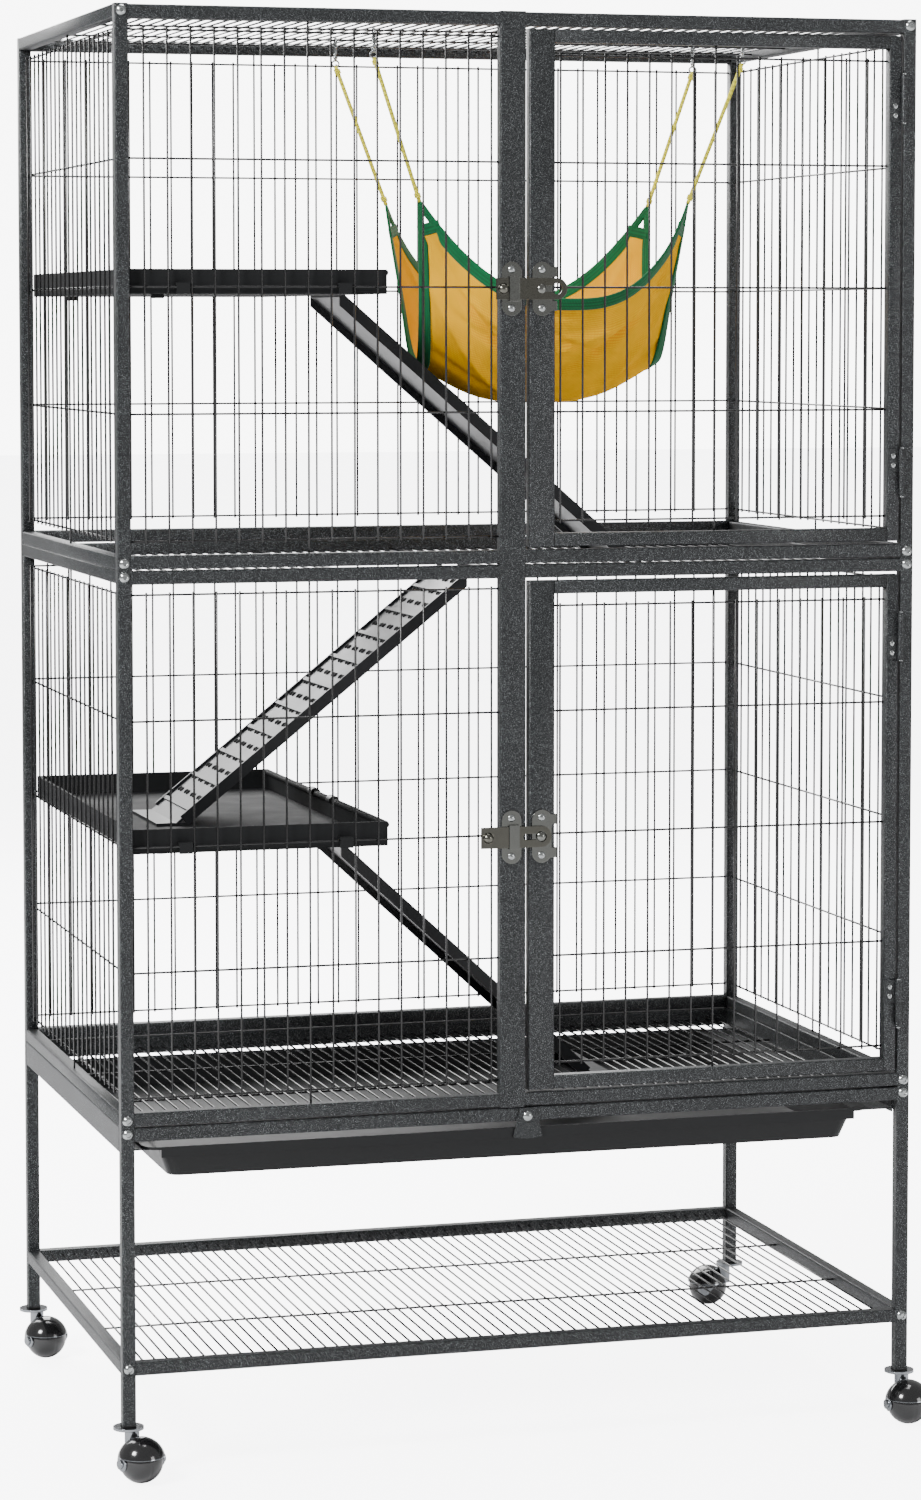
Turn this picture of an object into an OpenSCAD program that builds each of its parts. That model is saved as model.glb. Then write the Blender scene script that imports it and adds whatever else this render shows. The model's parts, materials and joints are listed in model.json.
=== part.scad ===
// A two-storey wire cage for small animals on a wheeled stand.
// Millimetres. The origin is on the floor, under the middle of the frame.
// +Z is up, -Y is the front with the two doors.

/* [Frame] */
// Width of the frame, left to right
cage_w = 787.4; // [760:0.1:860]
// Depth of the frame, front to back
cage_d = 508; // [480:0.1:560]
// Height of one cage section
section_h = 520; // [512:0.1:560]
// Height of the stand's top above the floor
stand_h = 331.6; // [320:0.1:380]
// Height of the legs' lower ends above the floor
leg_z = 50; // [49:0.1:60]
// Height of the shelf rails' upper faces above the floor
shelf_z = 109.5; // [105:0.1:140]
// Side of the square tube that the frame is made of
tube = 12.7; // [12:0.1:14]
// Wall of the square tube
tube_wall = 1.2; // [1:0.1:1.6]
// Corner radius of the tube
tube_r = 1.6; // [1.2:0.1:2.2]
// Width of the post between the front grille and the door
centre_post_w = 25.4; // [22:0.1:28]
// Place of that post's middle along X
centre_post_x = -13; // [-16:0.1:-10]
// Distance of the front and back rails from the ends of the posts
rail_gap = 0.7; // [0.5:0.1:1]
// Height of the stand's two upper side rails
side_rail_h = 25; // [24:0.1:30]
// Extra height of the back rails under the lower floor
back_rail_extra = 5.3; // [4:0.1:8]

/* [Corner bolts] */
// Shank diameter of the corner bolts
bolt_d = 5; // [4:0.1:5.5]
// Head diameter of the corner bolts
bolt_head_d = 10.5; // [9:0.1:11]
// Head height of the corner bolts
bolt_head_h = 3; // [2:0.1:4]
// Depth of the solid inserts in the side rails' ends
insert_l = 14; // [12:0.1:20]
// Radial clearance of the bolts in their holes
bolt_gap = 0.15; // [0.1:0.05:0.3]

/* [Wires] */
// Diameter of the wires
wire_d = 2; // [1.8:0.1:2.4]
// Pitch of the upright wires in the walls
wire_pitch = 22.2; // [21:0.1:23]
// Height of the lowest cross wire above its section's base
row_z = 26.2; // [24:0.1:30]
// Height of the highest cross wires under the section's top
row_top = 23.4; // [22:0.1:28]
// Length of an upright wire past the last cross wire
wire_tail = 2.5; // [2:0.1:4]
// Pitch of the close-set wires in floors, roof and shelf
grille_pitch = 11.9; // [11:0.1:13]
// Depth by which crossing wires are welded into each other
weld = 0.15; // [0.1:0.05:0.3]

/* [Doors] */
// Gap between a door and the centre post
door_gap_left = 3.3; // [2.5:0.1:4]
// Gap between a door and the right post
door_gap_right = 2; // [1.8:0.1:2.4]
// Gap above and below a door
door_gap_z = 3.5; // [3:0.1:5]
// Width of the door's stile that carries the latch
latch_stile_w = 25.4; // [22:0.1:28]

/* [Hinges] */
// Diameter of the hinge pins
pin_d = 3; // [2.6:0.1:3.2]
// Outer diameter of the hinge knuckles
knuckle_d = 6; // [5.6:0.1:6.4]
// Height of a whole hinge
hinge_h = 46; // [40:0.1:52]
// Thickness of the hinge leaves
leaf_t = 1.2; // [1:0.1:1.5]
// Width of a hinge leaf
leaf_w = 14; // [13:0.1:16]
// Distance of the hinges' middles from a section's base and top
hinge_inset = 83; // [70:0.1:95]
// Radial clearance of the hinge pins
pin_gap = 0.05; // [0.03:0.01:0.08]

/* [Latches] */
// Height of the latches above a section's base
latch_z = 260; // [250:0.1:275]
// Length of the sliding latch strip
strip_l = 69.9; // [66:0.1:74]
// Height of the strip
strip_h = 20.2; // [18:0.1:22]
// Thickness of the strip
strip_t = 1.5; // [1.2:0.1:1.8]
// Travel of the strip
strip_travel = 15; // [13:0.1:16]
// Diameter of the keeper stud's neck
stud_neck_d = 5; // [4:0.1:5.5]
// Diameter of the keeper stud's head
stud_head_d = 9; // [8:0.1:9.6]
// Height of the latch plates
plate_h = 51; // [48:0.1:56]
// Width of the latch plates
plate_w = 19.5; // [18.6:0.1:20]
// Thickness of the latch plates
plate_t = 1.5; // [1.2:0.1:2]

/* [Tray] */
// Gap between the tray's rim and the left wall of the stand
tray_gap_left = 9.3; // [8:0.1:11]
// Gap between the tray's rim and the right wall of the stand
tray_gap_right = 29; // [27:0.1:31]
// Height of the tray
tray_h = 29; // [24:0.1:36]
// Wall of the tray
tray_t = 2.4; // [2:0.1:3]
// Width of the tray's flat rim
tray_rim = 14; // [12:0.1:18]
// Height of the tray's rim above the floor
tray_top = 312; // [311:0.1:313]
// Corner radius of the tray
tray_r = 16; // [12:0.1:22]

/* [Platforms and ramps] */
// Width of a platform along X
platform_w = 246; // [230:0.1:252]
// Depth of a platform along Y
platform_d = 488; // [460:0.1:490]
// Height of a platform's rim
platform_h = 23; // [20:0.1:26]
// Wall of a platform
platform_t = 3; // [2.5:0.1:4]
// Width of a ramp
ramp_w = 120; // [100:0.1:130]
// Height of a ramp's flanges
ramp_h = 11.5; // [10:0.1:13]
// Wall of a ramp
ramp_t = 2.6; // [2.2:0.1:3]

/* [Casters] */
// Diameter of the caster's ball
ball_d = 41.2; // [40:0.1:42]
// Distance from the swivel axis to the ball's middle
trail = 24; // [23:0.1:26]
// Diameter of the swivel stem
stem_d = 8; // [7:0.1:8.4]

/* [Hammock] */
// Thickness of the hammock's cloth
cloth_t = 3; // [2.4:0.1:4]
// Diameter of the hammock's cords
cord_d = 4; // [3:0.1:4.6]

/* [Hidden] */

$fn = 48;
charcoal = [0.24, 0.25, 0.24];
black = [0.06, 0.06, 0.06];
nickel = [0.72, 0.72, 0.7];
zinc = [0.85, 0.85, 0.83];
yellow = [0.93, 0.7, 0.08];

// Small clearance between pieces that rest on each other or move past each other
gap = 0.3;

// Frame planes
right_x = cage_w / 2;
back_y = cage_d / 2;
inner_x = right_x - tube;
inner_y = back_y - tube;
post_x = right_x - tube / 2;
post_y = back_y - tube / 2;
lower_z = stand_h;
upper_z = stand_h + section_h;
top_z = upper_z + section_h;
centre_left = centre_post_x - centre_post_w / 2;
centre_right = centre_post_x + centre_post_w / 2;
rail_bite = tube_wall / 2;
rail_in = tube + rail_gap;

// Wire walls
row_pitch = (section_h - row_z - row_top) / 4;
rows = [for (i = [0:4]) row_z + i * row_pitch];
first_wire = 14.7;
back_wires = floor((2 * inner_x - 2 * first_wire + 0.5) / wire_pitch) + 1;
back_nub = round(0.3 * (back_wires - 1));
side_wires = 2 * floor((cage_d - 2 * tube - wire_pitch) / wire_pitch / 2) + 1;
front_wires = floor((centre_left + inner_x - first_wire - 6) / wire_pitch) + 1;

// Floors: depth of the long wires' middle under the section's base, and places of the cross wires
floor_sink = 11.6;
floor_z = [lower_z - floor_sink, upper_z - floor_sink];
// Depth of the roof's long wires under the top
roof_sink = 6;
roof_z = top_z - roof_sink;
cross_y = [-207, -50, 107];
roof_cross_y = [-175, -75, 75, 175];
shelf_cross_y = [-tube * 6.6, tube * 6.6];

// Opening in the upper floor for the middle ramp
hole_x = [-146.5, -1.5];
hole_y = [-104, 86];
rod_d = 4;
// Room beside the right rod for the ramp's hooks
hook_room = 4;

// Doors
door_x = [centre_right + door_gap_left, inner_x - door_gap_right];
door_z = [tube + door_gap_z, section_h - tube - door_gap_z];
door_bay = [door_x[0] + latch_stile_w, door_x[1] - tube];
door_rows = [door_z[0] + 24.3, rows[1], rows[2], rows[3], door_z[1] - 24.3];
door_wire_pitch = 22.16;
door_first_wire = door_bay[0] + 6.5;
door_wires = floor((door_bay[1] - door_first_wire - 4) / door_wire_pitch) + 1;

// Hinges
hinge_x = inner_x - 1;
hinge_y = -back_y - knuckle_d / 2 - gap;
hinge_z = [hinge_inset, section_h - hinge_inset + 6.5];
half_h = hinge_h / 2;
rivet_x = hinge_x - 7.5;
rivet_d = 3;

// Latches
plate_y = -back_y - plate_t;
strip_y = plate_y - gap - strip_t;
base_plate_x = centre_post_x - 1.9;
keeper_plate_x = door_x[0] + 2.4 + plate_w / 2;
keeper_x = keeper_plate_x - 0.9;
latch_screw_z = 18.2;
ear_z = 16;
ear_h = 9.5;
ear_l = 8;
ear_t = 1.2;
ear_x = door_bay[0] + 0.2 + ear_t;
button_d = 10.8;
button_h = 4.5;
latch_screw_d = 4;

// Platforms: hung on the middle cross wire of each section
platform_drop = 6.5;
platform_z = [for (b = [lower_z, upper_z]) b + rows[2] - platform_drop];
platform_left = -inner_x + 1.3;
platform_right = platform_left + platform_w;
bead_d = 6;
bead_x = platform_right - platform_t / 2;
bead_lift = platform_h - bead_d / 2;
clip_w = 12.5;
clip_t = 1.6;
knob_d = 12;
knob_h = 4;
knob_in = 34;
clip_x = [platform_left + 49.5, platform_right - 42];

// Ramps: slope, and how far the flanges' tops pass under the hook's axis
upper_slope = 41;
middle_slope = 38.8;
lower_slope = 42.7;
upper_ramp_drop = 9.2;
middle_ramp_drop = 3.5;
lower_ramp_drop = 25.5;
hook_gap = 0.35;
hook_t = 2.2;
hook_arm_w = 14;
hook_arm_in = 22;
tread_lip = 2.5;
cleat_pitch = 37;
cleat_w = 4;
cleat_h = 2;
first_cleat = 34;
foot_l = 34;
foot_lap = 3;

// Tray
tray_l = 2 * inner_x - tray_gap_left - tray_gap_right;
tray_x = (tray_gap_left - tray_gap_right) / 2;
tray_y0 = -back_y + gap;
tray_d = cage_d - 2 * tube + 3;
tray_taper = 18;
catch_x = 1.3;
catch_z = stand_h - 8.8;
catch_t = 2;
catch_screw_d = 4;
runner_t = 1.5;

// Casters: place of each leg and heading of each ball, from the swivel axis
socket_l = 28;
socket_flange = 1.2;
hood_gap = 0.5;
hood_t = 1.5;
hood_rise = 5;
fork_w = 14;
fork_lean = 42;
axle_d = 6;
axle_head_d = 9;
disc_d = 29;
horn_in = 1;
disc_t = 2.6;
disc_z = leg_z - socket_flange - gap - disc_t;
casters = [[-1, -1, -72], [1, -1, -90], [-1, 1, -68], [1, 1, 150]];

// Hammock: middle, half size, sags and hooks
hammock_x = 87.5;
hammock_dx = 141.5;
hammock_dy = 60;
hammock_side = 65;
hammock_z = 1206;
end_sag = 172;
side_sag = 103;
belly_sag = 67;
cloth_n = 22;
hook_x = [-8.5 * grille_pitch, 23.5 * grille_pitch];
hook_wire = 2.2;
hook_r = 3.4;
hook_l = 20;
hook_top = roof_z - wire_d / 2 + weld + gap + hook_wire;

// ---------- building blocks ----------

// Rounded square tube section, hollow, centred
module tube_profile(w, h) {
    difference() {
        union() {
            square([w - 2 * tube_r, h], center = true);
            square([w, h - 2 * tube_r], center = true);
            for (x = [-1, 1], y = [-1, 1])
                translate([x * (w / 2 - tube_r), y * (h / 2 - tube_r)]) circle(r = tube_r, $fn = 32);
        }
        square([w - 2 * tube_wall, h - 2 * tube_wall], center = true);
    }
}

// Upright tube on [x, y], from z0 to z1, closed at both ends
module post(x, y, z0, z1, w = tube) {
    translate([x, y, z0]) linear_extrude(height = z1 - z0) tube_profile(w, tube);
    for (z = [z0, z1 - tube_wall])
        translate([x - w / 2 + tube_r / 2, y - tube / 2 + tube_r / 2, z])
            cube([w - tube_r, tube - tube_r, tube_wall]);
}

// Tube along X between the faces x0 and x1 of two posts, sunk into their walls
module rail_x(x0, x1, y, z, h = tube) {
    translate([x0 - rail_bite, y, z]) rotate([90, 0, 90])
        linear_extrude(height = x1 - x0 + 2 * rail_bite) tube_profile(tube, h);
}

// Tube along Y with a solid, bored insert at each end
module rail_y(x, z, h = tube) {
    bore_z = z + h / 2 - tube / 2;
    difference() {
        translate([x, inner_y, z]) rotate([90, 0, 0]) union() {
            linear_extrude(height = 2 * inner_y) tube_profile(tube, h);
            for (l = [0, 2 * inner_y - insert_l])
                translate([-tube / 2 + tube_r / 2, -h / 2 + tube_r / 2, l])
                    cube([tube - tube_r, h - tube_r, insert_l]);
        }
        for (s = [-1, 1])
            translate([x, s * (inner_y - insert_l / 2), bore_z]) rotate([90, 0, 0])
                cylinder(d = bolt_d + 0.1, h = insert_l + 1, center = true);
    }
}

// Holes for the corner bolts through the front or back posts, at the heights zs
module bolt_holes(y, zs) {
    for (x = [-post_x, post_x], z = zs)
        translate([x, y, z]) rotate([90, 0, 0])
            cylinder(d = bolt_d + 2 * bolt_gap, h = tube + 2, center = true);
}

// Wires are drawn with six flat sides, two of which face the crossing wires
module wire_z(x, y, z0, z1, d = wire_d) {
    translate([x, y, z0]) cylinder(d = d / cos(30), h = z1 - z0, $fn = 6);
}

module wire_x(x0, x1, y, z) {
    translate([x0, y, z]) rotate([0, 90, 0]) cylinder(d = wire_d / cos(30), h = x1 - x0, $fn = 6);
}

module floor_wire_x(x0, x1, y, z, d = wire_d) {
    translate([x0, y, z]) rotate([0, 90, 0]) rotate([0, 0, 30])
        cylinder(d = d / cos(30), h = x1 - x0, $fn = 6);
}

module floor_wire_y(x, y0, y1, z, d = wire_d) {
    translate([x, y0, z]) rotate([-90, 0, 0]) cylinder(d = d / cos(30), h = y1 - y0, $fn = 6);
}

// Wall of welded wire between x0 and x1. The cross wires lie on y = 0 and run into the posts,
// the uprights lie in front of them. Those in nubs run on into the rails at z0 and z1.
module wire_wall(x0, x1, xs, zs, z0, z1, nubs) {
    for (z = zs)
        wire_x(x0, x1, 0, z);
    for (i = [0:len(xs) - 1])
        wire_z(xs[i], weld - wire_d,
            nub(i, nubs) ? z0 : zs[0] - wire_tail,
            nub(i, nubs) ? z1 : zs[len(zs) - 1] + wire_tail);
}

function nub(i, nubs) = len(search(i, nubs)) > 0;

// Close-set wires along Y over the field x0..x1, y0..y1, with cross wires under them
module wire_floor(x0, x1, y0, y1, z, crosses, cross_d = wire_d) {
    first = ceil((x0 + wire_d) / grille_pitch);
    last = floor((x1 - wire_d) / grille_pitch);
    for (i = [first:last])
        floor_wire_y(i * grille_pitch, y0, y1, z);
    for (y = crosses)
        if (y > y0 + wire_d && y < y1 - wire_d)
            floor_wire_x(x0, x1, y, z - (wire_d + cross_d) / 2 + weld, cross_d);
}

// ---------- walls of the two sections ----------

// Front frame of a section whose base is at z: three posts and four rails
module front_frame(z) {
    y = -post_y;
    top = z + section_h;
    color(charcoal) difference() {
        union() {
            for (x = [-post_x, post_x])
                post(x, y, z, top);
            post(centre_post_x, y, z, top, centre_post_w);
            for (rz = [z + rail_in - tube / 2, top - rail_in + tube / 2]) {
                rail_x(-inner_x, centre_left, y, rz);
                rail_x(centre_right, inner_x, y, rz);
            }
        }
        bolt_holes(y, [z + tube / 2, top - tube / 2]);
        for (e = [-1, 1])
            screw_hole(base_plate_x, z + latch_z + e * latch_screw_z, latch_screw_d);
    }
}

// Hole for a screw of diameter d through the front wall of a tube of the front
module screw_hole(x, z, d) {
    translate([x, -back_y, z]) rotate([-90, 0, 0])
        cylinder(d = d + 0.2, h = 2 * tube_wall + 1, center = true);
}

// Left front grille of a section whose base is at z
module front_grille(z) {
    xs = [for (i = [0:front_wires - 1]) -inner_x + first_wire + i * wire_pitch];
    color(black) translate([0, -post_y, z]) union()
        wire_wall(-inner_x, centre_left, xs, rows, rail_in, section_h - rail_in, [7]);
}

// Back panel of a section whose base is at z: frame and wires welded together
module back_panel(z) {
    xs = [for (i = [0:back_wires - 1]) (i - (back_wires - 1) / 2) * wire_pitch];
    top = z + section_h;
    color(charcoal) difference() {
        union() {
            for (x = [-post_x, post_x])
                post(x, post_y, z, top);
            for (rz = [z + rail_in - tube / 2, top - rail_in + tube / 2])
                rail_x(-inner_x, inner_x, post_y, rz);
            translate([0, post_y, z]) mirror([0, 1, 0])
                wire_wall(-inner_x - rail_bite, inner_x + rail_bite, xs, rows,
                    rail_in - rail_bite, section_h - rail_in + rail_bite,
                    [back_nub, back_wires - 1 - back_nub]);
        }
        bolt_holes(post_y, [z + tube / 2, top - tube / 2]);
    }
}

// Side panel of a section whose base is at z, on the side s (-1 left, 1 right)
module side_panel(s, z) {
    xs = [for (i = [0:side_wires - 1]) (i - (side_wires - 1) / 2) * wire_pitch];
    color(charcoal) union() {
        for (rz = [z + tube / 2, z + section_h - tube / 2])
            rail_y(s * post_x, rz);
        translate([s * post_x, 0, z]) rotate([0, 0, s * 90])
            wire_wall(-inner_y, inner_y, xs, rows,
                tube - rail_bite, section_h - tube + rail_bite, [(side_wires - 1) / 2]);
    }
}

module upper_front_frame() { front_frame(upper_z); }
module lower_front_frame() { front_frame(lower_z); }
module upper_front_grille() { front_grille(upper_z); }
module lower_front_grille() { front_grille(lower_z); }
module upper_back_panel() { back_panel(upper_z); }
module lower_back_panel() { back_panel(lower_z); }
module upper_left_panel() { side_panel(-1, upper_z); }
module upper_right_panel() { side_panel(1, upper_z); }
module lower_left_panel() { side_panel(-1, lower_z); }
module lower_right_panel() { side_panel(1, lower_z); }

// ---------- roof and floors ----------

module roof_grille() {
    color(black) union()
        wire_floor(-inner_x, inner_x, -inner_y, inner_y, roof_z, roof_cross_y);
}

module lower_floor_grille() {
    color(black) union()
        wire_floor(-inner_x, inner_x, -inner_y, inner_y, floor_z[0], cross_y);
}

// Upper floor in four fields round the opening, each edged by a rod
module upper_floor_grille() {
    z = floor_z[1];
    rod_ridge = rod_d / 2 / cos(30) - rod_d / 2 + 0.05;
    mid_x = [hole_x[0] + rod_ridge, hole_x[1] - rod_ridge];
    color(black) {
        union() {
            wire_floor(-inner_x, hole_x[0] - rod_d, -inner_y, inner_y, z, cross_y);
            floor_wire_y(hole_x[0] - rod_d / 2, -inner_y, inner_y, z, rod_d);
            floor_edge(hole_x[0] - rod_d - 1, hole_x[0] - rod_d / 2, z);
        }
        union() {
            wire_floor(hole_x[1] + rod_d + hook_room, inner_x, -inner_y, inner_y, z, cross_y);
            floor_wire_y(hole_x[1] + rod_d / 2, -inner_y, inner_y, z, rod_d);
            floor_edge(hole_x[1] + rod_d / 2, hole_x[1] + rod_d + hook_room + 1, z);
        }
        union() {
            wire_floor(mid_x[0], mid_x[1], -inner_y, hole_y[0] - rod_d / 2, z, cross_y);
            floor_wire_x(mid_x[0], mid_x[1], hole_y[0] - rod_d / 2, z, rod_d);
        }
        union() {
            wire_floor(mid_x[0], mid_x[1], hole_y[1] + rod_d / 2, inner_y, z, cross_y);
            floor_wire_x(mid_x[0], mid_x[1], hole_y[1] + rod_d / 2, z, rod_d);
        }
    }
}

// Short cross wires that tie a floor field's edge rod to the field
module floor_edge(x0, x1, z) {
    for (y = cross_y)
        floor_wire_x(x0, x1, y, z - wire_d + weld);
}

// ---------- doors ----------

// Door in a section whose base is at z
module door(z) {
    xs = [for (i = [0:door_wires - 1]) door_first_wire + i * door_wire_pitch];
    stile_x = door_x[1] - tube / 2;
    latch_stile_x = door_x[0] + latch_stile_w / 2;
    z0 = z + door_z[0];
    z1 = z + door_z[1];
    color(charcoal) difference() {
        union() {
            post(stile_x, -post_y, z0, z1);
            post(latch_stile_x, -post_y, z0, z1, latch_stile_w);
            for (rz = [z0 + tube / 2, z1 - tube / 2])
                rail_x(door_bay[0], door_bay[1], -post_y, rz);
            translate([0, -post_y, z])
                wire_wall(door_bay[0] - rail_bite, door_bay[1] + rail_bite, xs, door_rows,
                    door_z[0] + tube - rail_bite, door_z[1] - tube + rail_bite, [7]);
        }
        for (rz = rivet_heights(z))
            screw_hole(rivet_x, rz, rivet_d);
        for (e = [-1, 1])
            screw_hole(keeper_plate_x, z + latch_z + e * latch_screw_z, latch_screw_d);
    }
}

module upper_door() { door(upper_z); }
module lower_door() { door(lower_z); }

// ---------- hinges ----------

// Each hinge: the door's half lies towards the door's middle, the post's half away from it.
// e is 1 where the door's half is the upper one.
function door_half_z(z, i) = z + hinge_z[i] - (i == 0 ? 0 : half_h);
function post_half_z(z, i) = z + hinge_z[i] - (i == 0 ? half_h : 0);
function rivet_heights(z) =
    [for (i = [0, 1], s = [-1, 1]) door_half_z(z, i) + half_h / 2 + s * 4.5];

module knuckle(z) {
    translate([hinge_x, hinge_y, z + 0.2]) difference() {
        cylinder(d = knuckle_d, h = half_h - 0.4);
        translate([0, 0, -1]) cylinder(r = pin_d / 2 + pin_gap, h = half_h + 2);
    }
}

// Hinge halves of the door in the section whose base is at z
module door_hinge_leaves(z) {
    color(charcoal) for (i = [0, 1]) {
        hz = door_half_z(z, i);
        difference() {
            union() {
                knuckle(hz);
                translate([hinge_x - leaf_w, -back_y - leaf_t, hz + 0.2])
                    cube([leaf_w - 1, leaf_t, half_h - 0.4]);
            }
            for (s = [-1, 1])
                translate([rivet_x, -back_y - leaf_t / 2, hz + half_h / 2 + s * 4.5])
                    rotate([90, 0, 0]) cylinder(d = rivet_d + 0.2, h = leaf_t + 2, center = true);
        }
    }
}

module upper_door_hinge_leaves() { door_hinge_leaves(upper_z); }
module lower_door_hinge_leaves() { door_hinge_leaves(lower_z); }

// Halves on the right post: their leaves lie on the post's inner side
module hinge_post_leaves() {
    color(charcoal) for (z = [lower_z, upper_z], i = [0, 1]) {
        hz = post_half_z(z, i);
        knuckle(hz);
        difference() {
            translate([inner_x - leaf_t, hinge_y, hz + 0.2])
                cube([leaf_t, leaf_w, half_h - 0.4]);
            translate([hinge_x, hinge_y, hz - 1]) cylinder(r = pin_d / 2 + pin_gap + 0.3, h = half_h + 2);
        }
    }
}

module hinge_pins() {
    color(zinc) for (z = [lower_z, upper_z], i = [0, 1])
        translate([hinge_x, hinge_y, z + hinge_z[i] - half_h]) {
            translate([0, 0, -1]) cylinder(d = pin_d, h = hinge_h + 2);
            for (e = [-1.2, hinge_h + 0.1])
                translate([0, 0, e]) cylinder(d = pin_d + 1.6, h = 1.1);
        }
}

// Rivets that hold the leaves on the door in the section whose base is at z
module door_rivets(z) {
    color(nickel) for (rz = rivet_heights(z))
        translate([rivet_x, -back_y - leaf_t, rz]) rotate([-90, 0, 0]) {
            cylinder(d = rivet_d, h = leaf_t + tube_wall + 1);
            rotate_extrude() dome(rivet_d * 0.95, 1.2);
            translate([0, 0, leaf_t + tube_wall]) cylinder(d = rivet_d + 1.2, h = 1);
        }
}

// Half profile of a flat dome of radius r and height h, under z = 0
module dome(r, h) {
    sphere_r = (r * r + h * h) / (2 * h);
    intersection() {
        translate([0, sphere_r - h]) circle(r = sphere_r, $fn = 64);
        translate([0, -h - 1]) square([r + 1, h + 1]);
    }
}

module upper_door_rivets() { door_rivets(upper_z); }
module lower_door_rivets() { door_rivets(lower_z); }

// ---------- latches ----------

// Plate with rounded ends, upright, its back on y = 0
module latch_plate(x, z) {
    translate([x, 0, z]) rotate([90, 0, 0]) linear_extrude(height = plate_t) difference() {
        union() {
            square([plate_w, plate_h - plate_w], center = true);
            for (s = [-1, 1])
                translate([0, s * (plate_h - plate_w) / 2]) circle(d = plate_w);
        }
        for (s = [-1, 1])
            translate([0, s * latch_screw_z]) circle(d = latch_screw_d + 0.2, $fn = 24);
    }
}

// Plate and loose bridge on the centre post
module latch_base(z) {
    bridge_w = 9.9;
    bridge_t = 1.2;
    in_h = strip_h / 2 + 0.4;
    out_y = strip_y - gap - bridge_t;
    color(nickel) translate([0, -back_y, 0]) union() {
        latch_plate(base_plate_x, z + latch_z);
        translate([base_plate_x - bridge_w / 2 + 2, 0, z + latch_z]) difference() {
            translate([0, out_y + back_y, -in_h - bridge_t])
                cube([bridge_w, -out_y - back_y - plate_t / 2, 2 * (in_h + bridge_t)]);
            translate([-1, out_y + back_y + bridge_t, -in_h])
                cube([bridge_w + 2, -out_y - back_y, 2 * in_h]);
        }
    }
}

// Sliding strip with its keyhole and its button; locked by shift = strip_travel
module latch_slide(z, shift) {
    hole_r = stud_head_d / 2 + 0.7;
    slot_w = stud_neck_d + 0.9;
    end_r = strip_h / 2;
    color(nickel) translate([keeper_x + shift, strip_y, z + latch_z]) rotate([-90, 0, 0]) union() {
        linear_extrude(height = strip_t) difference() {
            union() {
                circle(r = end_r);
                translate([end_r - strip_l, -end_r]) square([strip_l - end_r, 2 * end_r]);
            }
            circle(r = hole_r);
            translate([-strip_travel, -slot_w / 2]) square([strip_travel, slot_w]);
            translate([-strip_travel, 0]) circle(d = slot_w);
        }
        translate([end_r - strip_l + 7, 0, 0]) rotate_extrude() union() {
            dome(button_d / 2, button_h);
            square([3, strip_t]);
        }
    }
}

// Plate on the door with its headed stud and two ears that grip the stile's side
module latch_keeper(z) {
    neck_l = strip_t + 2 * gap;
    color(nickel) translate([0, -back_y, 0]) union() {
        latch_plate(keeper_plate_x, z + latch_z);
        for (s = [-1, 1])
            translate([keeper_plate_x + plate_w / 4, -plate_t, z + latch_z + s * ear_z - ear_h / 2]) {
                cube([ear_x - keeper_plate_x - plate_w / 4, plate_t, ear_h]);
                translate([ear_x - keeper_plate_x - plate_w / 4 - ear_t, 0, 0])
                    cube([ear_t, ear_l, ear_h]);
            }
        translate([keeper_x, -plate_t / 2, z + latch_z]) rotate([90, 0, 0]) {
            cylinder(d = stud_neck_d, h = plate_t / 2 + neck_l + 0.5);
            translate([0, 0, plate_t / 2 + neck_l]) rotate([180, 0, 0])
                rotate_extrude() dome(stud_head_d / 2, 2);
        }
    }
}

// Pan screws through a plate into the wall behind it
module plate_screws(x, z) {
    for (s = [-1, 1])
        translate([x, -back_y - plate_t, z + latch_z + s * latch_screw_z]) rotate([-90, 0, 0]) {
            cylinder(d = latch_screw_d, h = plate_t + tube_wall + 3);
            rotate_extrude() dome(3.6, 1.6);
        }
}

module upper_latch_base() { latch_base(upper_z); }
module lower_latch_base() { latch_base(lower_z); }
module upper_latch_slide() { latch_slide(upper_z, strip_travel); }
module lower_latch_slide() { latch_slide(lower_z, 0); }
module upper_latch_keeper() { latch_keeper(upper_z); }
module lower_latch_keeper() { latch_keeper(lower_z); }
module upper_keeper_screws() { color(nickel) plate_screws(keeper_plate_x, upper_z); }
module lower_keeper_screws() { color(nickel) plate_screws(keeper_plate_x, lower_z); }
module latch_base_screws() {
    color(nickel) for (z = [lower_z, upper_z])
        plate_screws(base_plate_x, z);
}

// ---------- platforms and ramps ----------

// Rimmed tray whose underside is at z, hung on the wall's middle cross wires by four clips
module platform(z) {
    wall_y = platform_d / 2;
    color(black) union() {
        difference() {
            translate([platform_left, -wall_y, z]) cube([platform_w, platform_d, platform_h]);
            translate([platform_left + platform_t, -wall_y + platform_t, z + platform_t])
                cube([platform_w - 2 * platform_t, platform_d - 2 * platform_t, platform_h]);
        }
        translate([bead_x, -wall_y, z + bead_lift]) rotate([-90, 0, 0])
            cylinder(d = bead_d, h = platform_d);
        for (s = [-1, 1], x = clip_x)
            translate([x, s * wall_y, z]) wall_clip(s);
        for (s = [-1, 1])
            translate([platform_left + knob_in, s * (wall_y - knob_in), z - knob_h])
                cylinder(d = knob_d, h = knob_h + platform_t / 2);
    }
}

// Clip over a cross wire, outward along s * Y from the platform's wall
module wall_clip(s) {
    wire_y = post_y - platform_d / 2;
    arm_z = platform_drop + wire_d / 2 + gap;
    arm_t = 1.5 * clip_t;
    reach = wire_y + wire_d * 1.5 + gap + clip_t;
    mirror([0, s > 0 ? 0 : 1, 0]) {
        translate([-clip_w / 2, -platform_t / 2, arm_z]) cube([clip_w, reach + platform_t / 2, arm_t]);
        translate([-clip_w / 2, reach - clip_t, 0]) cube([clip_w, clip_t, arm_z + arm_t]);
    }
}

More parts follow.
